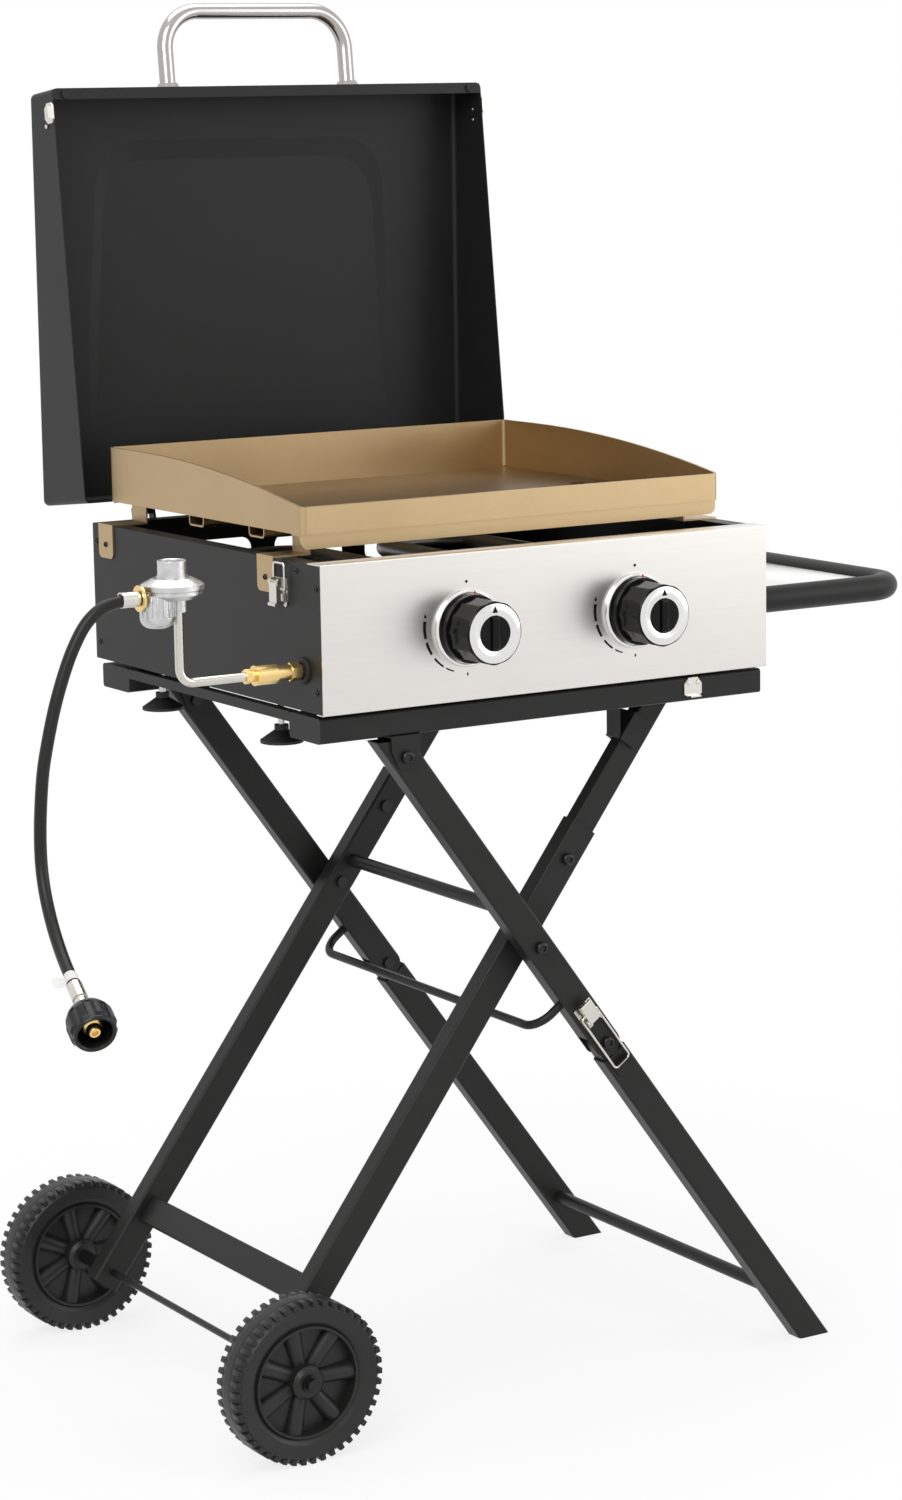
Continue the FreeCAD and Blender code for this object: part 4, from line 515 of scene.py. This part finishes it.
def flame(name, place, size):  # a drop with a drawn-out tip
    drop = lathe(name, [(size, 0), (size, 0.15)], 20)
    pick(drop)
    bpy.ops.object.mode_set(mode="EDIT")
    bpy.ops.mesh.select_all(action="DESELECT")
    bpy.ops.object.mode_set(mode="OBJECT")
    for corner in drop.data.vertices:
        corner.select = corner.co.y > size * 0.0009
    bpy.ops.object.mode_set(mode="EDIT")
    bpy.ops.transform.translate(value=(0, size * 0.0011, 0))
    bpy.ops.object.mode_set(mode="OBJECT")
    return put(drop, place, (0, -1, 0))


def makeDialMarks(side):
    x, z = dial["knobX"][side], dial["z"]
    dot = lathe(f"offDot{side}", [(1.7, 0), (1.7, 0.15)], 24)
    marks = [put(dot, (x, 0, z + dial["dot"]), (0, -1, 0))]
    dash = block(f"dialMarks{side}", (arc["step"], 1, 0.15), 0)
    (fromHeading, fromRadius), (toHeading, toRadius) = arc["from"], arc["to"]
    for first, last, wide in arc["dashes"]:
        for heading in range(first, last, arc["every"]):
            share = (heading - fromHeading) / (toHeading - fromHeading)
            atX, atZ = around(x, z, fromRadius + share * (toRadius - fromRadius), heading)
            twin = put(twinOf(dash), (atX, arc["stand"], atZ), (0, -1, 0), heading + 90)
            twin.scale = (1, wide * (1.08 - 0.16 * (heading - first) / (last - first)), 1)
            marks.append(twin)
    bpy.data.objects.remove(dash)
    atX, atZ = around(x, z, *dial["highFlame"])
    marks.append(flame(f"highFlame{side}", (atX, 0, atZ), 1.6))
    marks.append(flame(f"lowFlame{side}", (x, 0, z - dial["lowFlame"]), 1.2))
    finishPiece(joined(f"dialMarks{side}", marks), "markPaint", "head", 20)
    atX, atZ = around(x, z, *dial["red"])
    red = lathe(f"ignitionMark{side}", [(1.5, 0), (1.5, 0.4), (1.2, 0.6)], 20)
    put(red, (atX, dial["redStand"], atZ), (0, -1, 0))
    finishPiece(red, "redPaint", "head", 20)


for side in ("left", "right"):
    makeKnobTrim(side)
    makeDialMarks(side)
print("knob trim made")

# screws and bolt heads
screw = {"caseLeft": [(52, 151), (10.5, 135), (13, 23), (527, 140), (527, 20)],
         "caseRight": [(10.5, 135), (13, 23), (527, 140)], "bracketY": (117, 500), "bracketZ": 138}
legs = {"pivot": (108, -57), "angle": 53.9, "axle": (-46, -729.5), "crossing": 292, "fold": 443,
        "sleeve": -108}
boltY = {"pivot": (5.2, 527.8), "fold": (8, 525), "crossing": (7.7, 525.3), "sleeve": (50, 483)}


def alongLeg(distance):
    turn = math.radians(legs["angle"])
    return legs["pivot"][0] + distance * math.cos(turn), legs["pivot"][1] - distance * math.sin(turn)


def alongInner(distance):  # measured down from the crossing
    x, z = alongLeg(legs["crossing"])
    reach = math.hypot(legs["axle"][0] - x, legs["axle"][1] - z)
    return x + (legs["axle"][0] - x) * distance / reach, z + (legs["axle"][1] - z) * distance / reach


def makeScrews():
    head = lathe("caseScrews", [(3.4, 0), (3.3, 0.9), (2.6, 1.7), (1.5, 2), (1.3, 1.9), (1.3, 0.7)], 24)
    places = [((0, y, z), (-1, 0, 0)) for y, z in screw["caseLeft"]]
    places += [((586, y, z), (1, 0, 0)) for y, z in screw["caseRight"]]
    places += [((-2, y, screw["bracketZ"]), (-1, 0, 0)) for y in screw["bracketY"]]
    places += [((588, y, screw["bracketZ"]), (1, 0, 0)) for y in screw["bracketY"]]
    finishPiece(copies(head, places), "blackScrew", "head", 30)


def boltHead(name):
    return lathe(name, [(7, 0), (6.9, 0.8), (5.8, 2), (3.9, 2.6), (3.6, 2.5), (3.4, 0.8)], 36)


def bothSides(x, z, kind):  # one head in front, one behind
    front, back = boltY[kind]
    return [((x, front, z), (0, -1, 0)), ((x, back, z), (0, 1, 0))]


def makeBoltHeads():
    heads = [("pivotBoltHeads", "head", bothSides(*legs["pivot"], "pivot")),
             ("foldBoltHeads", "outer_frame", bothSides(*alongLeg(legs["fold"]), "fold")),
             ("crossingBoltHeads", "inner_frame", bothSides(*alongInner(0), "crossing")
              + bothSides(*alongInner(legs["sleeve"]), "sleeve"))]
    for name, body, places in heads:
        finishPiece(copies(boltHead(name), places), "blackScrew", body, 30)


makeScrews()
makeBoltHeads()
print("screws made")

# wheels: tread lugs on both shoulders, staggered, and full barrels over the spokes
tread = {"count": 46, "radius": 88.9, "offset": 14.6, "size": (6.6, 14.5, 6.6), "stagger": 0.25}
spokes = {"count": 7, "steps": [(8.6, 15), (9.4, 18), (10.3, 35), (12.3, 58), (12.3, 59.8)], "depth": 1.3}


def radial(turn):  # the direction out from the axle, and the matrix that stands +Z along it
    side = Vector((0, 1, 0))
    outward = Vector((math.cos(turn), 0, math.sin(turn)))
    return outward, Matrix((side.cross(outward), side, outward)).transposed().to_4x4()


def makeTread(end, y):
    lug = block(f"treadLugs{end}", tread["size"], 1.1)
    x, z = legs["axle"]
    made = []
    for row in (-1, 1):
        for number in range(tread["count"]):
            outward, stand = radial(2 * math.pi * (number + tread["stagger"] * row) / tread["count"])
            at = Vector((x, y + row * tread["offset"], z)) + outward * tread["radius"]
            twin = twinOf(lug)
            twin.matrix_world = Matrix.Translation(spot(*at)) @ stand
            made.append(twin)
    bpy.data.objects.remove(lug)
    finishPiece(joined(f"treadLugs{end}", made), "wheelPlastic", f"wheel_{end}", 40)


def makeSpokes(end, y):
    barrel = lathe("spokeBarrel", spokes["steps"], 28)
    x, z = legs["axle"]
    made = []
    for number in range(spokes["count"]):
        _, stand = radial(2 * math.pi * number / spokes["count"])
        twin = twinOf(barrel)
        twin.matrix_world = (Matrix.Translation(spot(x, y, z)) @ stand
                             @ Matrix.Diagonal((1, spokes["depth"], 1, 1)))
        made.append(twin)
    bpy.data.objects.remove(barrel)
    finishPiece(joined(f"spokeBarrels{end}", made), "wheelPlastic", f"wheel_{end}", 40)


for end, y in (("front", 4), ("rear", 554)):
    makeTread(end, y)
    makeSpokes(end, y)
print("wheels made")

# regulator ribs, wall grommet, hose band, nipple and tag
gas = {"bowl": (-174, 40, 128.5), "ribRadius": 18.6, "ribs": 9, "firstRib": 185, "ribStep": 20,
       "cap": (-155.5, 40, 174.5), "grommet": (0, 40, 44.5), "hoseRadius": 6.75,
       "bandBack": 37, "sealBack": 23.6, "tagBack": 30, "tagShift": (-0.0135, -0.001, -0.001)}


def makeRegulatorRibs():
    rib = block("bowlRibs", (2.2, 1.9, 21), 0.6)
    made = []
    for number in range(gas["ribs"]):
        turn = math.radians(gas["firstRib"] + number * gas["ribStep"])
        at = Vector(gas["bowl"]) + Vector((math.cos(turn), math.sin(turn), 0)) * gas["ribRadius"]
        twin = twinOf(rib)
        twin.rotation_euler = (0, 0, turn)
        twin.location = spot(*at)
        made.append(twin)
    bpy.data.objects.remove(rib)
    finishPiece(joined("bowlRibs", made), "castZinc", "head", 30)
    lip = lathe("capLip", [(12.4, -2), (12.4, 0.9), (13.2, 1.5), (14.8, 1.4), (15.35, 0.7), (15.35, -2),
                           (12.4, -2)], 56)
    finishPiece(put(lip, gas["cap"]), "castZinc", "head")
    grommet = lathe("wallGrommet", [(8.8, 0), (8.8, 3.2), (10, 4.4), (13.6, 3.6), (14.7, 2), (14.7, 0),
                                    (8.8, 0)], 48)
    finishPiece(put(grommet, gas["grommet"], (-1, 0, 0)), "footRubber", "head")


def makeHoseBand():
    before, end = (Vector(place) for place in hose["points"][-2:])
    heading = (end - before).normalized()
    radius = gas["hoseRadius"]
    band = lathe("hoseBand", [(radius, 0), (7.15, 0.3), (7.15, 12.7), (radius, 13), (radius, 0)], 40)
    put(band, tuple(end - heading * gas["bandBack"]), tuple(heading))
    finishPiece(band, "whiteBand", "head")
    seal = lathe("hoseSeal", [(radius, 0), (7.7, 0.3), (7.7, 3.2), (radius, 3.5), (radius, 0)], 40)
    put(seal, tuple(end - heading * gas["sealBack"]), tuple(heading))
    finishPiece(seal, "footRubber", "head")
    nose = lathe("nippleNose", [(7, 36), (11.4, 36.6), (11.8, 43), (10, 48.5), (7.6, 50), (7.3, 54.2),
                                (5.6, 57), (3.4, 57), (3, 54.1), (0.3, 54.1)], 40)
    put(nose, tuple(end), tuple(heading))
    finishPiece(nose, "brass", "head")
    tag = block("hoseTag", (15, 0.35, 15), 0)
    at = end - heading * gas["tagBack"]
    tag.matrix_world = (Matrix.Translation(spot(*at) + Vector(gas["tagShift"]))
                        @ heading.to_track_quat("-Z", "Y").to_matrix().to_4x4())
    finishPiece(tag, "whiteBand", "head")


makeRegulatorRibs()
makeHoseBand()
print("gas details made")

# rivets on the lid, its keepers, the rail keeper and the latch bases
rivets = {"lidRight": (588.6, ((617.2, 632.4), (616.4, 619.6))),
          "lidLeft": (-5.4, ((612, 634), (613.2, 621))),
          "rail": (489, 6.5, 8.4, -12), "latch": (82, 8, 112.5), "latchX": (-1.6, 587.6)}


def makeRivets():
    rivet = lathe("lidRivets", [(2.7, 0), (2.6, 0.5), (1.8, 1.2), (0.8, 1.5)], 24)
    places = []
    for side in ("lidRight", "lidLeft"):
        x, spots = rivets[side]
        places += [((x, y, z), (-1, 0, 0)) for y, z in spots]
    finishPiece(copies(rivet, places), "nickel", "lid", 30)
    rivet = lathe("railRivets", [(2.9, 0), (2.7, 0.6), (1.8, 1.3), (0.8, 1.6)], 24)
    x, apart, y, z = rivets["rail"]
    places = [((x + side * apart, y, z), (0, -1, 0)) for side in (-1, 1)]
    y, apart, z = rivets["latch"]
    for x, outward in zip(rivets["latchX"], (-1, 1)):
        places += [((x, y + side * apart, z), (outward, 0, 0)) for side in (-1, 1)]
    finishPiece(copies(rivet, places), "nickel", "head", 30)


makeRivets()
print("rivets made")


# floor, light and backdrop
def whiteRays(tree):  # 1 for rays that should see plain white: camera, mirror and glass rays
    path = tree.nodes.new("ShaderNodeLightPath")
    total = path.outputs["Is Camera Ray"]
    for kind in ("Is Glossy Ray", "Is Transmission Ray"):
        step = tree.nodes.new("ShaderNodeMath")
        step.operation = "MAXIMUM"
        tree.links.new(total, step.inputs[0])
        tree.links.new(path.outputs[kind], step.inputs[1])
        total = step.outputs[0]
    return total


# the floor turns plain white between floorWhite's two distances, in metres
studio = {"floorGlow": 0.8, "floorWhite": (0.5, 1.3), "sky": 0.5,
          "lamps": [("keyLight", (-2.6, -2.2, 3.2), 2.2, 2.6, 80),
                    ("fillLight", (2.6, -2.4, 1.8), 2.4, 2.4, 34),
                    ("topLight", (0.2, 0.6, 3.8), 3.0, 2.4, 50)]}


def makeStudio():
    clear()
    bpy.ops.mesh.primitive_plane_add(size=40, location=(0, 0, 0))
    floor = bpy.context.object
    floor.name = "floor"
    paint = Paint("floorWhite", Roughness=0.9)
    tint = paint.noise(0.9, 2)
    paint.drive("Base Color", paint.blend(tint, (0.93, 0.93, 0.93), (0.96, 0.96, 0.96)))
    glow = paint.tree.nodes.new("ShaderNodeEmission")
    glow.inputs["Color"].default_value = (1, 1, 1, 1)
    glow.inputs["Strength"].default_value = 1.0
    mix = paint.tree.nodes.new("ShaderNodeMixShader")
    away = paint.node("ShaderNodeVectorMath", {"operation": "LENGTH"}, {0: paint.coordinates()},
                      output="Value")
    near, far = studio["floorWhite"]
    share = ((away - near) / (far - near)).clamped(0, 1)
    glowing = (studio["floorGlow"] + share * (1 - studio["floorGlow"])) * Wire(paint, whiteRays(paint.tree))
    paint.tree.links.new(glowing.socket, mix.inputs[0])
    paint.tree.links.new(paint.shader.outputs[0], mix.inputs[1])
    paint.tree.links.new(glow.outputs[0], mix.inputs[2])
    paint.tree.links.new(mix.outputs[0], paint.tree.nodes["Material Output"].inputs["Surface"])
    floor.data.materials.append(paint.material)

    world = bpy.data.worlds.new("studio")
    scene.world = world
    world.use_nodes = True
    tree = world.node_tree
    back = tree.nodes["Background"]
    back.inputs["Color"].default_value = (1, 1, 1, 1)
    back.inputs["Strength"].default_value = studio["sky"]
    white = tree.nodes.new("ShaderNodeBackground")
    white.inputs["Color"].default_value = (1, 1, 1, 1)
    white.inputs["Strength"].default_value = 1.0
    mix = tree.nodes.new("ShaderNodeMixShader")
    tree.links.new(whiteRays(tree), mix.inputs[0])
    tree.links.new(back.outputs[0], mix.inputs[1])
    tree.links.new(white.outputs[0], mix.inputs[2])
    tree.links.new(mix.outputs[0], tree.nodes["World Output"].inputs["Surface"])

    for name, place, wide, high, power in studio["lamps"]:
        data = bpy.data.lights.new(name, "AREA")
        data.shape = "RECTANGLE"
        data.size = wide
        data.size_y = high
        data.energy = power
        lamp = bpy.data.objects.new(name, data)
        lamp.location = place
        fromMiddle = Vector(place) - Vector((0, 0, 0.8))
        lamp.rotation_euler = fromMiddle.to_track_quat("Z", "Y").to_euler()
        scene.collection.objects.link(lamp)


makeStudio()
print("studio made")
